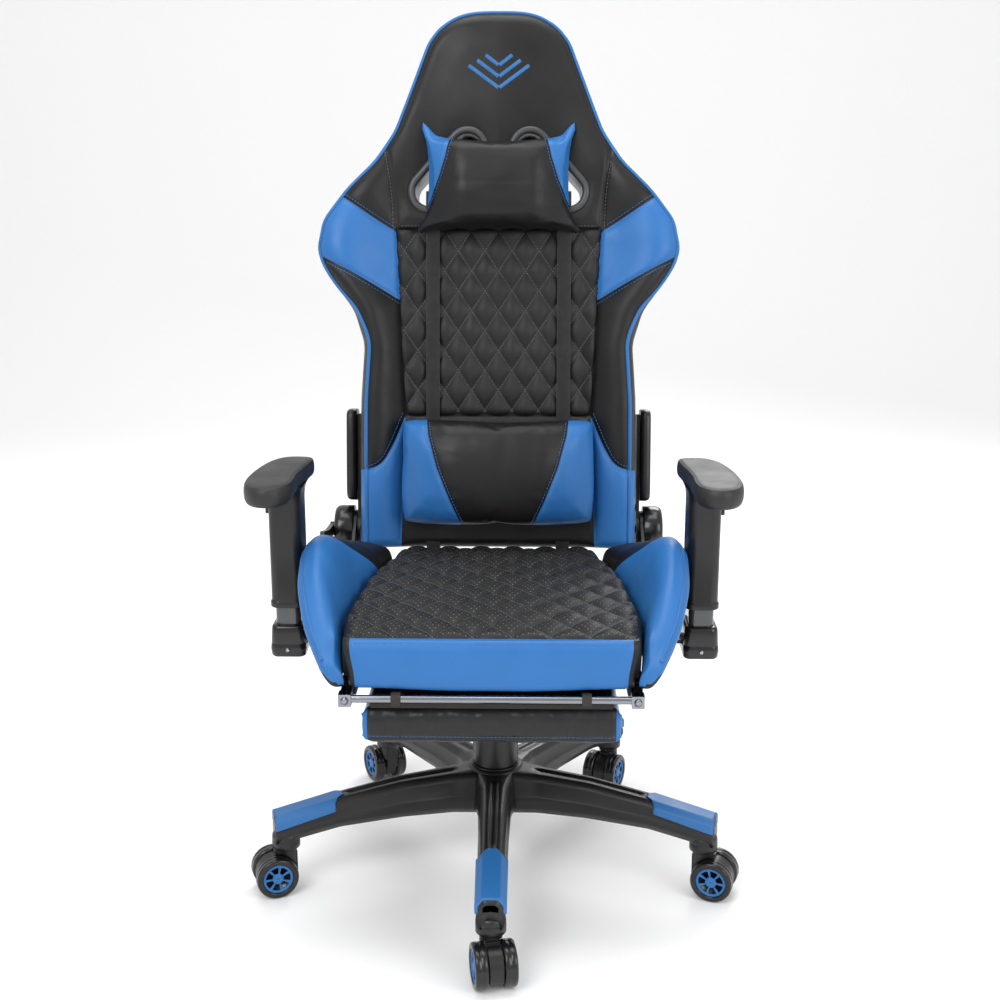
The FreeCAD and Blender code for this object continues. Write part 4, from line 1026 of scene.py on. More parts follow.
def blown(mesh, voxel=5.0, pressure=4.0, cap=12.0, frames=20, stiffness=12.0):
    """The mesh, remeshed, then filled by air for a few frames, with each point's travel capped."""
    body = bpy.data.objects.new("blown", mesh)
    bpy.context.scene.collection.objects.link(body)
    even = body.modifiers.new("even", "REMESH")
    even.mode, even.voxel_size = "VOXEL", voxel * MM
    graph = bpy.context.evaluated_depsgraph_get()
    cloth_mesh = bpy.data.meshes.new_from_object(body.evaluated_get(graph), depsgraph=graph)
    bpy.data.objects.remove(body)
    body = bpy.data.objects.new("blown", cloth_mesh)
    bpy.context.scene.collection.objects.link(body)
    count = len(cloth_mesh.vertices)
    rest = np.zeros(count * 3)
    cloth_mesh.vertices.foreach_get("co", rest)
    cloth = body.modifiers.new("cloth", "CLOTH")
    cloth.settings.use_pressure = True
    cloth.settings.uniform_pressure_force = pressure
    cloth.settings.tension_stiffness = stiffness
    cloth.settings.compression_stiffness = stiffness
    cloth.settings.quality = 6
    cloth.settings.effector_weights.gravity = 0.0
    cloth.point_cache.frame_end = frames
    for frame_number in range(1, frames + 1):
        bpy.context.scene.frame_set(frame_number)
    graph = bpy.context.evaluated_depsgraph_get()
    moved = np.zeros(count * 3)
    body.evaluated_get(graph).data.vertices.foreach_get("co", moved)
    travel = (moved - rest).reshape(-1, 3)
    far = np.linalg.norm(travel, axis=1, keepdims=True)
    travel *= np.minimum(1.0, cap * MM / np.maximum(far, 1e-9))
    body.modifiers.remove(cloth)
    cloth_mesh.vertices.foreach_set("co", (rest.reshape(-1, 3) + travel).ravel())
    bpy.context.scene.frame_set(1)
    body.modifiers.new("finer", "SUBSURF").levels = 1
    graph = bpy.context.evaluated_depsgraph_get()
    result = bpy.data.meshes.new_from_object(body.evaluated_get(graph), depsgraph=graph)
    bpy.data.objects.remove(body)
    print("blown:", len(result.vertices), "points")
    return result


def move_points(mesh, points):
    mesh.vertices.foreach_set("co", chair(points).ravel())
    mesh.update()


PILLOW_PROFILE = [(0.03, 0.0), (0.5, 0.0), (0.85, 0.0), (0.96, 0.08), (1.0, 0.3), (0.97, 0.5), (0.88, 0.7),
                  (0.7, 0.86),
                  (0.45, 0.96), (0.2, 1.0), (0.03, 1.01)]

# %% Head pillow
HEAD_REAR = -4.6
head_outline = smooth_line([(-123, 662), (-92, 644), (-45, 637), (0, 635), (45, 637), (92, 644), (123, 662),
                            (118, 625),
                            (115, 575), (119, 520), (129, 484), (92, 487), (45, 489), (0, 489), (-45, 489),
                            (-92, 487),
                            (-129, 484), (-119, 520), (-115, 575), (-118, 625)], 160, closed=True)
HEAD_SEAM_S = [470, 500, 520, 540, 570, 600, 640, 670]
HEAD_SEAM_X = [152, 131, 116, 104, 91, 81, 72, 67]


def head_depth(ring):
    return 56.0 * (1 - 0.72 * step(np.abs(ring[:, 0]), 50, 124))


def place_head(p):
    return back(np.stack([p[:, 0], HEAD_REAR - p[:, 2], p[:, 1]], -1))


mesh = blown(domed("head_pillow_form", head_outline, [(-76, 562), (76, 562)], PILLOW_PROFILE, place_head,
                   head_depth), 4.5, 4.0, 7.0)
p = to_back(design_points(mesh))
head_seam = np.interp(p[:, 2], HEAD_SEAM_S, HEAD_SEAM_X)
gap = np.abs(p[:, 0]) - head_seam
tug = np.exp(-np.abs(gap) / 14.0)
p[:, 1] += (3.2 * np.exp(-(gap / 2.6) ** 2) + 0.9 * tug * ruffle(p, 11.0)) * (p[:, 1] < HEAD_REAR - 6)
p[:, 1] += 1.0 * ruffle(p * np.array([0.7, 0.0, 1.4]), 34.0, 7.0) * (p[:, 1] < HEAD_REAR - 10)
p[:, 1] = np.minimum(p[:, 1], HEAD_REAR + 0.4)
move_points(mesh, back(p))
store(mesh, "tone", gap)
head_pillow = finish_piece("head_cushion", mesh, TWO_TONE, "backrest", "head_pillow")
seam_s = np.linspace(524, 638, 60)
head_lines = [np.stack([k * (np.interp(seam_s, HEAD_SEAM_S, HEAD_SEAM_X) - 4.0), seam_s], 1) for k in (-1, 1)]
sew("head_cushion_thread", back_lines(head_lines, head_pillow), "backrest")

# %% Lumbar pillow
LUMBAR_REAR = -3.2
lumbar_outline = smooth_line([(-141, 203), (-70, 206), (0, 206), (70, 206), (141, 203), (150, 192),
                              (150, 122), (149, 52), (138, 41),
                              (70, 36), (0, 35), (-70, 36), (-138, 41), (-149, 52), (-150, 122), (-150, 192)],
                             160, closed=True)


def place_lumbar(p):
    return back(np.stack([p[:, 0], LUMBAR_REAR - p[:, 2], p[:, 1]], -1))


def lumbar_depth(ring):
    return 76.0 - 16.0 * step(np.abs(ring[:, 0]), 60, 150)


mesh = blown(domed("lumbar_form", lumbar_outline, [(-70, 121), (70, 121)], PILLOW_PROFILE, place_lumbar,
                   lumbar_depth), 5.0, 4.0, 8.0)
p = to_back(design_points(mesh))
LUMBAR_S, LUMBAR_X = [30, 45, 80, 130, 180, 210], [50, 56, 72, 92, 106, 110]
gap = np.abs(p[:, 0]) - np.interp(p[:, 2], LUMBAR_S, LUMBAR_X)
front_side = p[:, 1] < LUMBAR_REAR - 8
p[:, 1] += 3.4 * np.exp(-(gap / 2.8) ** 2) * front_side
rim_s = np.minimum(p[:, 2] - 35, 206 - p[:, 2])
pucker = np.exp(-np.clip(rim_s, 0, None) / 16.0) * np.sin(p[:, 0] / 4.2 + 2 * ruffle(p, 30.0))
p[:, 1] += (0.8 * pucker + (0.7 + 1.1 * step(gap, 0, 20))
            * ruffle(p * np.array([1.6, 0.0, 0.7]), 34.0, 2.0)) * front_side
p[:, 1] = np.minimum(p[:, 1], LUMBAR_REAR + 0.2)
move_points(mesh, back(p))
store(mesh, "tone", gap)
lumbar = finish_piece("lumbar_cushion", mesh, TWO_TONE, "lumbar_pillow", "lumbar_pillow")
seam_s = np.linspace(46, 198, 60)
for_thread = [np.stack([k * (np.interp(seam_s, LUMBAR_S, LUMBAR_X) - 4.0), seam_s], 1) for k in (-1, 1)]
sew("lumbar_thread", back_lines(for_thread, lumbar, before=-140.0), "lumbar_pillow")

# %% Footrest pad
PAD_PROFILE = [(0.03, 0.0), (0.6, 0.0), (0.88, 0.01), (0.97, 0.1), (1.0, 0.3), (1.0, 0.7), (0.97, 0.9),
               (0.88, 0.99), (0.6, 1.0), (0.03, 1.0)]
pad_outline = smooth_line([(-160, -267), (0, -269), (160, -267), (168, -258), (169, -184), (168, -106),
                           (160, -97), (0, -96),
                           (-160, -97), (-168, -106), (-169, -184), (-168, -258)], 160, closed=True)


def place_pad(p):
    return np.stack([p[:, 0], p[:, 1], 348.5 - 48.0 * p[:, 2]], -1)


mesh = blown(domed("footrest_form", pad_outline, [(-100, -183), (100, -183)], PAD_PROFILE, place_pad), 5.0,
             3.0, 4.0)
p = design_points(mesh)
folds = (1.6 * ruffle(p * np.array([1.0, 0.5, 0.35]), 20.0)
         + 0.9 * ruffle(p * np.array([1.0, 0.5, 0.3]), 8.0, 4.0))
faces_front = step(-p[:, 1], 240, 262)
p[:, 1] += folds * faces_front
p[:, 2] -= folds * (p[:, 2] < 312)
p[:, 2] = np.minimum(p[:, 2], 348.8)
seam_gap = np.abs(p[:, 2] - 309.0)
p[:, 1] += 2.4 * np.exp(-(seam_gap / 2.4) ** 2) * faces_front
end_gap = np.abs(p[:, 0]) - 159.0
p[:, 1] += 2.0 * np.exp(-(end_gap / 2.4) ** 2) * faces_front
move_points(mesh, p)
store(mesh, "tone", end_gap)
footrest_pad = finish_piece("footrest_cushion", mesh, WRINKLED, "footrest", "footrest_pad")
edge = np.stack([np.linspace(-156, 156, 110), np.full(110, -330.0), np.full(110, 310.5)], -1)
sew("footrest_thread", [laid_on(footrest_pad, edge, (0.0, 1.0, 0.0), 0.2)], "footrest", BLUE_THREAD)
# %% [markdown]
# ## Webbing and the trimmed belt holes
# Two flat bands hold the lumbar pillow: they run down the front, under the backrest and up behind it,
# and go through the belt holes. Another passes behind the head pillow. Webbing is flat and stiff
# across, so each band is a thin closed ribbon along its path. The holes have a moulded lip that covers
# the leather's cut edge.

# %% Ribbons
def ribbon(name, path, place, width, thick, body, stands_for):
    """A closed band of webbing: its path's points, given sideways and outwards by place."""
    path = np.asarray(path, float)
    way = np.roll(path, -1, axis=0) - np.roll(path, 1, axis=0)
    out = np.stack([way[:, 1], -way[:, 0]], 1) / np.maximum(np.linalg.norm(way, axis=1, keepdims=True), 1e-9)
    half, h = width / 2, thick / 2
    section = [(-half + 0.4, -h), (0.0, -h), (half - 0.4, -h), (half, 0.0), (half - 0.4, h),
               (half - 2.0, h * 0.8),
               (0.0, h), (2.0 - half, h * 0.8), (0.4 - half, h), (-half, 0.0)]
    rows = []
    for across, up in section:
        rows.append(place(np.column_stack([path + out * up, np.full(len(path), across)])))
    mesh = looped(name, np.array(rows).transpose(1, 0, 2))
    return finish_piece(name, mesh, WEBBING, body, stands_for)


def along_back(k):
    def place(p):
        return back(np.stack([k * 102.0 + p[:, 2], p[:, 0], p[:, 1]], -1))
    return place


strap_path = smooth_line([(-1.5, -1.0), (-2.2, 60), (-2.4, 200), (-2.9, 250), (-3.2, 350), (-3.2, 440),
                          (-4.6, 520), (-3.0, 550),
                          (8, 556), (50, 556), (84, 556), (90, 550), (90.6, 430), (90.4, 250), (90.2, 60),
                          (89, 4), (80, -1.8),
                          (45, -2.0), (6, -2.0)], 240, closed=True)
for name, k in (("left", 1), ("right", -1)):
    ribbon(f"lumbar_band_{name}", strap_path, along_back(k), 21.0, 1.5, "backrest",
           ["lumbar_straps"] if k == 1 else ())


def around_head(p):
    return back(np.stack([p[:, 0], p[:, 1], 591.0 + p[:, 2]], -1))


head_path = smooth_line([(0, -3.6), (50, -3.6), (72, -3.2), (78, 4), (78, 40), (78, 84), (70, 90.5),
                         (0, 91.5), (-70, 90.5), (-78, 84),
                         (-78, 40), (-78, 4), (-72, -3.2), (-50, -3.6)], 160, closed=True)
ribbon("head_band", head_path, around_head, 22.0, 1.4, "backrest", "head_strap")

# %% Belt-hole lips
for name, k in (("left", 1), ("right", -1)):
    loops = []
    LIP = [(-3.0, 88.0), (-3.0, 44.0), (-3.0, 4.0), (-2.4, -1.5), (0.5, -4.0), (4.5, -4.2), (7.8, -2.6),
           (8.6, 1.0), (4.0, 3.5),
           (0.2, 6.0), (-0.2, 44.0), (-0.2, 88.0)]
    depth_line = hole_line(k, 80, 8.0)
    surface_t = back_front(depth_line[:, 0], depth_line[:, 1])
    for grow, t in LIP:
        ring = hole_line(k, 80, grow)
        depth = t + (surface_t if t < 20 else 0.0)
        loops.append(back(np.stack([ring[:, 0], depth + 0 * ring[:, 0], ring[:, 1]], -1)))
    finish_piece(f"belt_hole_lip_{name}", looped("lip", loops), TRIM, "backrest",
                 ["harness_trims"] if k == 1 else ())

# %% A dark sheet behind the holes' upper ends, as painted shade
SHADE_SHEET_FROM = 622.0
for name, k in (("left", 1), ("right", -1)):
    ring = hole_line(k, 120, -0.6)
    above = ring[:, 1] > SHADE_SHEET_FROM
    first = int(np.nonzero(above & ~np.roll(above, 1))[0][0])
    ring, above = np.roll(ring, -first, axis=0), np.roll(above, -first)
    ring = ring[above]
    # painted shade: a dark webbing sheet closes the top of each hole, where the inside of the hole lies in
    # shade
    cloth = [back(np.stack([ring[:, 0], np.full(len(ring), t), ring[:, 1]], -1)) for t in (46.0, 48.0)]
    finish_piece(f"hole_shade_sheet_{name}", closed_rows("cloth", cloth), WEBBING, "backrest", ())

# %% [markdown]
# ## A stitched mark on the headrest
# A plain mark of three nested chevrons is sewn in satin stitch: short threads side by side, across the
# bar that they fill. The stitch tree does it with a bead that is wide and short.

# %% Satin chevrons
chevrons = []
for number in range(3):
    reach, foot = 46.0 - 13.0 * number, 711.0 + 17.0 * number
    for k in (-1, 1):
        chevrons.append(resampled([(k * 1.2, foot), (k * reach, foot + reach * 0.72)], 2.0))
sew("headrest_mark", back_lines(chevrons, back_cover, 0.15), "backrest", BLUE_THREAD, 0.85, 0.95, 0.7, 7.5)

# %% [markdown]
# ## Armrests
# A soft pad on a moulded sleeve that slides on a flat steel post, which stands in a flared collar. The
# pad is wide in front and narrows behind, with a full rounded lip. Sleeve and collar are rings of a
# rounded rectangle at several heights.

# %% Armrests
ARM_X, ARM_Y = 287.0, -59.0
PAD_OUTLINE = smooth_line([(255, -8), (262, 6), (284, 10), (302, 2), (316, -24), (324, -60), (328, -100),
                           (328, -140), (322, -168),
                           (308, -187), (291, -192), (275, -185), (265, -166), (262, -140), (263, -108),
                           (261, -76), (257, -42)],
                          150, closed=True)
PAD_SHAPE = [(0.03, 0.5), (0.7, 0.5), (0.86, 0.0), (0.95, 1.2), (0.99, 4.5), (1.0, 9.0), (0.995, 14.0),
             (0.97, 18.6), (0.93, 21.2),
             (0.89, 22.1), (0.875, 21.8), (0.86, 22.2), (0.7, 22.9), (0.4, 23.0), (0.03, 23.0)]


def rounded_ring(half_x, half_y, corner, z, count=64):
    angles = np.linspace(0, 2 * math.pi, count, endpoint=False) + math.pi / count
    cx, cy = np.cos(angles), np.sin(angles)
    x = np.sign(cx) * (half_x - corner) + corner * cx
    y = np.sign(cy) * (half_y - corner) + corner * cy
    return np.stack([ARM_X + x, ARM_Y + y, np.full(count, z)], 1)


SLEEVE_RINGS = [(18.2, 26.7, 9.6, 560.0), (18.2, 26.7, 9.6, 426.0), (19.0, 27.5, 10.0, 424.0),
                (22.4, 31.4, 12.0, 424.0),
                (23.4, 32.4, 12.0, 425.5), (23.4, 32.4, 12.0, 432.0), (22.0, 31.0, 12.0, 434.0),
                (22.0, 31.0, 12.0, 500.0),
                (22.0, 31.0, 12.0, 574.0), (22.8, 32.0, 12.0, 584.0), (25.0, 35.0, 13.0, 591.0),
                (28.0, 40.0, 14.0, 596.4)]
COLLAR_RINGS = [(12.0, 20.0, 8.0, 353.4), (22.5, 32.5, 9.0, 353.2), (24.0, 34.0, 10.0, 355.0),
                (25.0, 35.0, 10.5, 364.0),
                (24.4, 34.3, 10.5, 371.0), (23.9, 33.8, 10.5, 372.0), (24.2, 34.1, 10.5, 373.0),
                (23.2, 32.9, 10.5, 392.0),
                (22.5, 32.0, 10.0, 396.0), (21.4, 30.6, 9.5, 397.8), (17.6, 26.1, 9.0, 398.0)]
SPINE = [(293, -140), (282, -30)]
BUTTON_Z, WINDOW_Z, WINDOW_Y, WINDOW_CORNER = 560.0, 8.5, 6.5, 4.4


def cut_by(mesh, tool):
    """The mesh less the tool's room, with crisp edges where the tool cut it."""
    host, cutter = (bpy.data.objects.new("cut", data) for data in (mesh, tool))
    for item in (host, cutter):
        bpy.context.scene.collection.objects.link(item)
    cut = host.modifiers.new("cut", "BOOLEAN")
    cut.object, cut.solver = cutter, "EXACT"
    result = bpy.data.meshes.new_from_object(host.evaluated_get(bpy.context.evaluated_depsgraph_get()))
    for item in (host, cutter):
        bpy.data.objects.remove(item)
    return result


window_turns = np.linspace(0, 2 * math.pi, 40, endpoint=False) + math.pi / 40
window_z = (BUTTON_Z + np.sign(np.cos(window_turns)) * (WINDOW_Z - WINDOW_CORNER)
            + WINDOW_CORNER * np.cos(window_turns))
window_y = (ARM_Y + np.sign(np.sin(window_turns)) * (WINDOW_Y - WINDOW_CORNER)
            + WINDOW_CORNER * np.sin(window_turns))
window_rows = [np.stack([np.full(40, x), window_y, window_z], 1) for x in (297.4, 317.4)]
for name, k in (("left", 1), ("right", -1)):
    flip = np.array([k, 1, 1])

    def on_arm(p):
        lip = 5.0 * step(-p[:, 1], 120, 190) * step(12.0 - p[:, 2], 0, 12)
        return np.column_stack([p[:, 0], p[:, 1], 596.0 + p[:, 2] - lip]) * flip

    finish_piece(f"arm_rest_pad_{name}", domed("pad", PAD_OUTLINE, SPINE, PAD_SHAPE, on_arm), SOFT_PAD,
                 f"armrest_{name}",
                 f"arm_pad_{name}")
    sleeve = closed_rows("sleeve", [rounded_ring(*r) * flip for r in SLEEVE_RINGS])
    sleeve = cut_by(sleeve, closed_rows("button_window", [row * flip for row in window_rows]))
    sleeve = finish_piece(f"arm_slide_{name}", sleeve, NYLON, f"armrest_{name}", f"arm_sleeve_{name}")
    sleeve.data.set_sharp_from_angle(angle=math.radians(35))
    finish_piece(f"arm_collar_{name}", closed_rows("collar", [rounded_ring(*r) * flip for r in COLLAR_RINGS]),
                 NYLON_GLOSS,
                 "seat", ["arm_collars"] if k == 1 else ())

# %% [markdown]
# ## Recliner covers
# Domed caps hide the recliners on each side, and a tall moulded cover runs up the backrest's edge
# behind them. Both are level-line forms: an outline that shrinks towards a spine as it rises.

# %% Covers at the backrest's pivots
PIVOT = back(np.array([0.0, 55.0, 24.0]))
CAP_SHAPE = [(0.05, 0.0), (0.98, 0.0), (1.0, 1.0), (1.0, 20.0), (0.985, 24.5), (0.94, 28.0), (0.86, 30.2),
             (0.74, 31.0), (0.7, 30.2),
             (0.66, 31.0), (0.3, 31.0), (0.05, 31.0)]
circle = np.stack([38.0 * np.cos(np.linspace(0, 2 * math.pi, 72, endpoint=False)),
                   38.0 * np.sin(np.linspace(0, 2 * math.pi, 72, endpoint=False))], 1)
TALL = smooth_line([(-28, 92), (-22, 74), (0, 71), (20, 74), (24, 92), (24, 140), (23, 196), (18, 214),
                    (-2, 218), (-22, 214), (-27, 196),
                    (-28, 140)], 120, closed=True)
TALL_SHAPE = [(0.05, 0.0), (1.0, 0.0), (1.0, 9.0), (0.97, 13.0), (0.9, 15.4), (0.8, 15.0), (0.76, 13.6),
              (0.5, 13.8), (0.05, 14.0)]
for name, k in (("left", 1), ("right", -1)):
    def on_pivot(p):
        return np.column_stack([k * (232.2 + p[:, 2]), PIVOT[1] + p[:, 0], PIVOT[2] + p[:, 1]])

    def on_side(p):
        return back(np.column_stack([k * (227.0 + p[:, 2]), 55.0 + p[:, 0], p[:, 1]]))

    finish_piece(f"recliner_cap_{name}", domed("cap", circle, [(0, 0), (0, 0.01)], CAP_SHAPE, on_pivot),
                 NYLON_GLOSS, "seat",
                 ["pivot_covers"] if k == 1 else ())
    finish_piece(f"side_cover_{name}", domed("cover", TALL, [(-2, 110), (-2, 190)], TALL_SHAPE, on_side),
                 NYLON, "backrest",
                 ["back_covers"] if k == 1 else ())

# %% [markdown]
# ## The star base
# Five hollow nylon legs meet at a hub. Each has a sunken line between two ribs on top and a facet along
# its sides, and it widens where it joins the hub, which is what a mould needs. One leg is lofted and
# turned into the other four.

# %% Legs and hub
LEG_TABLE = ((20.0, 36.0, 152.0, 88.0), (44.0, 30.0, 151.6, 89.0), (70.0, 24.0, 151.0, 91.0),
             (146.0, 21.5, 148.0, 94.0),
             (237.0, 20.0, 136.0, 92.0), (331.0, 19.0, 119.0, 77.0))
LEGS = 5
CASTER_RING = 315.0


def leg_half_section(r):
    half, top, bottom = (float(v) for v in eased(r, LEG_TABLE, 5.0))
    groove = 3.2 * float(step(r, 56, 70) * (1 - step(r, 218, 230)))
    waist = bottom + 0.46 * (top - bottom)
    return [(0, bottom), (0.7 * half, bottom), (0.78 * half, bottom + 1.0), (half - 1.5, bottom + 8.0),
            (half, bottom + 10.5),
            (half, waist - 2.0), (half - 0.6, waist), (half - 2.2, waist + 2.0), (half - 2.6, top - 10.0),
            (half - 3.6, top - 7.6),
            (half - 8.2, top - 1.4), (half - 10.0, top - 0.2), (6.4, top), (5.2, top - groove * 0.25),
            (4.0, top - groove * 0.85),
            (3.2, top - groove), (0, top - groove)]


def full_section(half_section):
    return half_section + [(-y, z) for y, z in half_section[-2:0:-1]]


def turned_leg(points, number):
    a = math.radians(-90 + 360 / LEGS * number)
    r, y, z = points[..., 0], points[..., 1], points[..., 2]
    return np.stack([r * math.cos(a) - y * math.sin(a), r * math.sin(a) + y * math.cos(a), z], -1)


leg_rows = []
for r in np.concatenate([np.linspace(24, 90, 24), np.linspace(94, 331, 60)]):
    leg_rows.append([(r, y, z) for y, z in full_section(leg_half_section(r))])
leg_rows = np.array(leg_rows)
for number in range(LEGS):
    finish_piece(f"base_leg_{number + 1}", closed_rows("leg", turned_leg(leg_rows, number)), NYLON, "base",
                 ["base_star"] if number == 0 else ())
turns = np.linspace(0, 2 * math.pi, 96, endpoint=False)


def lathe(name, profile, centre=(0.0, 0.0)):
    """A closed form turned about an upright axis, from its radius and height."""
    return closed_rows(name, [[(centre[0] + r * math.cos(a), centre[1] + r * math.sin(a),
                                z) for a in turns] for r, z in profile])


finish_piece("base_hub", lathe("hub", [(25.4, 88.0), (40.0, 88.0), (42.0, 90.0), (42.0, 148.0), (41.6, 151.0),
                                       (38.0, 154.4),
                                       (36.8, 155.0), (26.0, 155.0)]), NYLON, "base", ())
BOSS = [(6.0, 67.0), (18.6, 67.0), (20.0, 68.4), (20.0, 78.0), (19.4, 79.0), (19.4, 81.0), (20.0, 82.0),
        (19.0, 88.0), (15.0, 92.0), (3.0, 92.4)]
for number in range(LEGS):
    centre = turned_leg(np.array([CASTER_RING, 0.0, 0.0]), number)
    finish_piece(f"caster_boss_{number + 1}", lathe("boss", BOSS, centre), NYLON, "base", ())

# %% Blue leg caps
CAP_POINTS = 41


def cap_sheet(grow, start, end):
    """The cap's skin over one leg, from its pointed inner end to its closed outer end."""
    rows = []
    for v in np.linspace(0, 1, 30):
        row = []
        for u in np.linspace(-1, 1, CAP_POINTS):
            side_share = min(1.0, abs(u) / 0.45)
            inner_end = start + 16.0 * max(0.0, side_share - 0.22) / 0.78 + 3.0 * (side_share < 0.12)
            r = inner_end + (end - inner_end) * v
            half, top, bottom = (float(w) for w in eased(min(r, 331.0), LEG_TABLE, 5.0))
            half, top = half + grow, top + grow
            edge = top - 16.0 - 4.0 * v
            corner = 0.36
            if abs(u) < corner:
                y, z = u / corner * (half - 9.0), top
            elif abs(u) < 0.5:
                f = (abs(u) - corner) / (0.5 - corner)
                y, z = math.copysign(half - 9.0 + 9.0 * f, u), top - 8.0 * f
            else:
                f = (abs(u) - 0.5) / 0.5
                y, z = math.copysign(half, u), top - 8.0 - (top - 8.0 - edge) * f
            row.append((r, y, z))
        rows.append(row)
    rows = np.array(rows)
    last = rows[-1]
    middle = np.array([end, 0.0, last[:, 2].min() + 2.0])
    for shrink, back_off in ((0.97, 0.5), (0.9, 1.0), (0.5, 1.2), (0.04, 1.2)):
        closing = middle + (last - middle) * shrink
        closing[:, 0] = end - 0.6 + 0.5 * back_off
        rows = np.concatenate([rows, closing[None]])
    return rows


outer = cap_sheet(1.6, 229.0, 331.0)
inner_skin = cap_sheet(0.3, 229.6, 330.0)
for number in range(LEGS):
    mesh = slab("cap", turned_leg(outer, number), turned_leg(inner_skin, number))
    finish_piece(f"leg_cap_{number + 1}", mesh, BLUE_PLASTIC, "base", ["leg_caps"] if number == 0 else ())

# %% [markdown]
# ## Twin-wheel casters
# Each wheel is a glossy nylon tread with a blue disc let into its outer face. The disc's seven windows
# are cells left out of a polar grid, so that they get walls of their own. One wheel is drawn about its
# stem and placed ten times.

# %% Wheels
WHEEL_R, TRAIL = 30.0, 18.0
TURNS = {"front": -78.0, "left": -21.0, "rear_left": 245.0, "rear_right": 120.0, "right": 201.0}
TREAD = [(5.0, 10.6), (27.6, 10.6), (29.2, 11.6), (29.9, 13.2), (30.0, 15.0), (30.0, 18.2), (29.5, 18.9),
         (29.5, 19.5), (30.0, 20.2),
         (30.0, 24.0), (29.6, 25.8), (28.4, 27.1), (26.8, 27.5), (23.6, 27.5), (22.0, 27.1), (21.6, 26.2),
         (21.6, 22.6), (5.0, 22.4)]
wheel_turns = np.linspace(0, 2 * math.pi, 84, endpoint=False)


def wheel_place(r, a, along, side, place):
    """A point of a wheel, from its radius, turn and place along the axle."""
    local = np.stack([TRAIL + r * np.cos(a), side * along, WHEEL_R + r * np.sin(a)], -1)
    number = list(TURNS).index(place)
    leg, turn = math.radians(-90 + 72 * number), math.radians(TURNS[place])
    x = local[..., 0] * math.cos(turn) - local[..., 1] * math.sin(turn) + CASTER_RING * math.cos(leg)
    y = local[..., 0] * math.sin(turn) + local[..., 1] * math.cos(turn) + CASTER_RING * math.sin(leg)
    return np.stack([x, y, local[..., 2]], -1)


DISC_R = np.array([0.6, 3.0, 5.6, 7.0, 8.2, 9.4, 11.0, 13.0, 15.0, 16.6, 17.8, 19.6, 20.6, 21.4])
DISC_TOP = np.array([25.2, 25.2, 25.2, 24.8, 23.8, 23.7, 23.7, 23.7, 23.7, 23.8, 24.6, 25.0, 25.0,
                     24.4]) + 1.2
SPOKES = 7
r_grid, a_grid = np.meshgrid(DISC_R, wheel_turns, indexing="ij")
disc_keep = np.ones((len(DISC_R) - 1, len(wheel_turns)), bool)
per = len(wheel_turns) // SPOKES
window = [c for c in range(len(wheel_turns)) if 1 <= c % per <= per - 3]
disc_keep[4:10, window] = False
top_grid = np.repeat(DISC_TOP[:, None], len(wheel_turns), 1)
for place in TURNS:
    for letter, side_of in (("a", -1), ("b", 1)):
        body = f"caster_{place}_wheel_{letter}"
        rows = [wheel_place(np.array([r for r, _ in TREAD]), a, np.array([w for _, w in TREAD]), side_of,
                            place) for a in wheel_turns]
        finish_piece(f"{body}_tread", looped("tread", rows), NYLON_GLOSS, body, body)
        front = wheel_place(r_grid, a_grid, top_grid, side_of, place)
        rear = wheel_place(r_grid, a_grid, np.full_like(top_grid, 22.7), side_of, place)
        finish_piece(f"{body}_disc", slab("disc", front, rear, disc_keep, wrap=True), BLUE_PLASTIC, body, ())

# %% [markdown]
# ## Screws
# Round-headed screws hold the footrest's bar, the recliners and the collars. One tree puts a small
# domed head, a short cylinder with a low cone on top, at every given point.

# %% Screw tree and its points
def screw_tree():
    tree, given, out = geometry_tree("screw_heads_on_points", (("Radius", 0.0035), ("Height", 0.0018)))
    head = node(tree, "GeometryNodeMeshCylinder",
                (("Vertices", 20), ("Radius", given.outputs["Radius"]), ("Depth", given.outputs["Height"])))
    collar = node(tree, "GeometryNodeMeshCone",
                  (("Vertices", 20), ("Radius Bottom", given.outputs["Radius"]), ("Radius Top", 0.0018),
                                                 ("Depth", 0.0009)))
    up = node(tree, "ShaderNodeCombineXYZ", ((2, 0.0009),))
    raised = node(tree, "GeometryNodeTransform", ((0, collar.outputs[0]), ("Translation", up.outputs[0])))
    joined = node(tree, "GeometryNodeJoinGeometry")
    tree.links.new(head.outputs[0], joined.inputs[0])
    tree.links.new(raised.outputs[0], joined.inputs[0])
    facing = node(tree, "GeometryNodeInputNamedAttribute", (("Name", "facing"),), data_type="FLOAT_VECTOR")
    turn = node(tree, "FunctionNodeAlignRotationToVector", (("Vector", facing.outputs[0]),), axis="Z")
    heads = node(tree, "GeometryNodeInstanceOnPoints",
                 (("Points", given.outputs[0]), ("Instance", joined.outputs[0]),
                                                        ("Rotation", turn.outputs[0])))
    return end_tree(tree, given, out, heads.outputs[0])


SCREWS = screw_tree()


def screws(name, places, body, radius, material=STEEL, slot="steel_bright"):
    lines = [([tuple(chair(place))], [way]) for place, way in places]
    return grown(name, SCREWS, line_mesh(name, lines), material, body, slot, Radius=radius * MM)


screws("footrest_screws", [((k * 184.0, -285.4, 368.0), (0, -1, 0)) for k in (-1, 1)], "footrest_slide", 5.2,
       CHROME, "chrome")
screws("recliner_screws", [((k * 263.6, PIVOT[1], PIVOT[2]), (k, 0, 0)) for k in (-1, 1)], "seat", 6.5,
       NYLON_GLOSS, "nylon_black")
screws("collar_screws", [((k * 287.0, ARM_Y - 34.4, 364.0), (0, -1, 0)) for k in (-1, 1)], "seat", 3.4, STEEL)
cover_screws = [(back(np.array([k * 240.8, 53.0, s])), (k, 0, 0)) for k in (-1, 1) for s in (100.0, 192.0)]
screws("cover_screws", cover_screws, "backrest", 3.6, STEEL)

# %% [markdown]
# ## Finishing the metalwork
# The column, the mechanism and the frame keep their CAD shapes, because these are plain pressed and
# turned parts. They get their finishes here: powder coat on the pressings, chrome on the footrest's
# slide, bright steel on the axle and the rod.

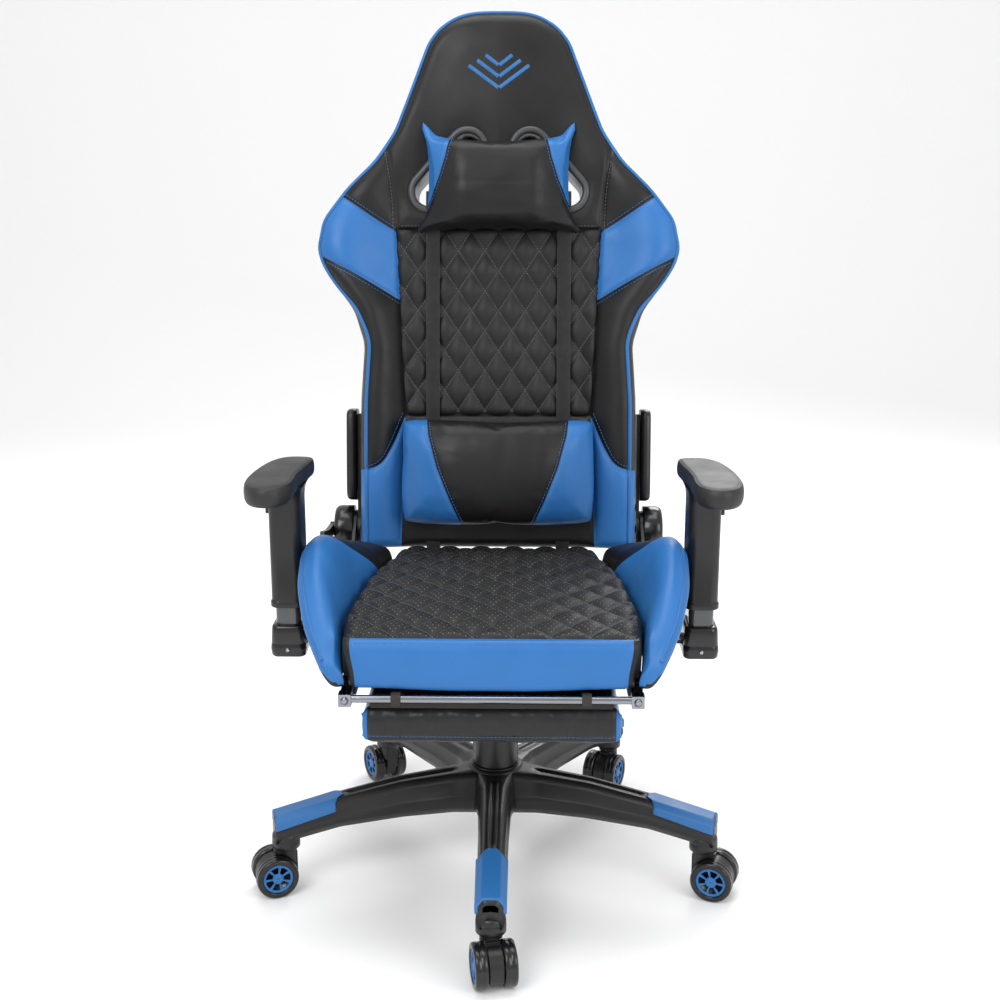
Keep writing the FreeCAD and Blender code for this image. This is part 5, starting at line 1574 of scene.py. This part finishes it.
# %% Materials for the CAD nodes that stay
FINISHES = {PAINTED: ("mechanism_housing", "tilt_plate", "seat_frame", "footrest_channels",
                      "seat_hinge_plates", "arm_brackets",
                      "back_brackets", "back_frame", "gas_lift_tube"),
            POST_PAINT: ("arm_posts",), CHROME: ("footrest_slide",), BOARD: ("footrest_board",),
            STEEL: ("piston_rod", "gas_cylinder", "tilt_axle", "tilt_spring", "lever_pin", "seat_bolts"),
            NYLON: ("dust_cover_lower", "dust_cover_upper", "tension_knob", "arm_button_left",
                    "arm_button_right", "recline_lever",
                    "height_lever") + tuple(f"caster_{place}_fork" for place in TURNS)}
for material, names in FINISHES.items():
    for name in names:
        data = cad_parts[name].data
        data.materials.clear()
        data.materials.append(material)
shown = [name for name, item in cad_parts.items() if not item.hide_render]
missing = sorted(set(shown) - {name for names in FINISHES.values() for name in names})
print(len(shown), "CAD nodes stay;", missing, "still need a finish")
# %% [markdown]
# ## Floor, light and camera
# A pale sweep, one big soft light above and in front, and a weaker one each side, as in a studio.
# The camera stands at chest height, two metres in front, and looks a little down.

# %% Studio
def soft_light(name, place, aim, size, power):
    light = bpy.data.lights.new(name, "AREA")
    light.shape, light.size, light.energy = "SQUARE", size, power
    lamp = bpy.data.objects.new(name, light)
    lamp.location = place
    lamp.rotation_euler = (Vector(aim) - Vector(place)).to_track_quat("-Z", "Y").to_euler()
    bpy.context.scene.collection.objects.link(lamp)


floor_material, _, floor_shader = surface("pale_floor")
floor_shader.inputs["Base Color"].default_value = (0.92, 0.92, 0.92, 1.0)
floor_shader.inputs["Roughness"].default_value = 0.8
FLOOR_HALF, SWEEP_START, SWEEP_TOP = 7.0, 3.2, 6.0
profile = [(-6.0, 0.0), (SWEEP_START, 0.0)]
profile += [(SWEEP_START + 1.6 * math.sin(a), 1.6 * (1 - math.cos(a)))
            for a in np.linspace(0.15, math.pi / 2, 12)]
profile.append((SWEEP_START + 1.6, SWEEP_TOP))
points = [(x, y, z) for y, z in profile for x in (-FLOOR_HALF, FLOOR_HALF)]
faces = [(2 * k, 2 * k + 1, 2 * k + 3, 2 * k + 2) for k in range(len(profile) - 1)]
floor_mesh = bpy.data.meshes.new("floor")
floor_mesh.from_pydata(points, [], faces)
floor_mesh.polygons.foreach_set("use_smooth", [True] * len(faces))
floor_mesh.materials.append(floor_material)
floor = bpy.data.objects.new("floor", floor_mesh)
bpy.context.scene.collection.objects.link(floor)

world = bpy.data.worlds.new("studio")
bpy.context.scene.world = world
world.use_nodes = True
world.node_tree.nodes["Background"].inputs[0].default_value = (1.0, 1.0, 1.0, 1.0)
world.node_tree.nodes["Background"].inputs[1].default_value = 0.8
MIDDLE = (0.0, 0.0, 0.6)
soft_light("key", (-1.4, -2.4, 2.6), MIDDLE, 1.6, 48.0)
soft_light("fill", (2.2, -2.0, 1.6), MIDDLE, 1.6, 30.0)
soft_light("top", (0.0, 0.2, 3.2), MIDDLE, 2.0, 40.0)
soft_light("rim", (0.8, 2.6, 2.2), MIDDLE, 1.2, 30.0)

camera_data = bpy.data.cameras.new("camera")
camera_data.lens = 48.99
camera_data.sensor_width = 36.0
camera_data.shift_x = 0.001
camera_data.shift_y = -0.008
camera = bpy.data.objects.new("camera", camera_data)
camera.location = (0.0365, -1.8749 + column_y, 1.0291)
camera.rotation_euler = (math.pi / 2 - 0.2408, 0.0, 0.0167)
bpy.context.scene.collection.objects.link(camera)
bpy.context.scene.camera = camera
bpy.context.scene.view_settings.view_transform = "Standard"
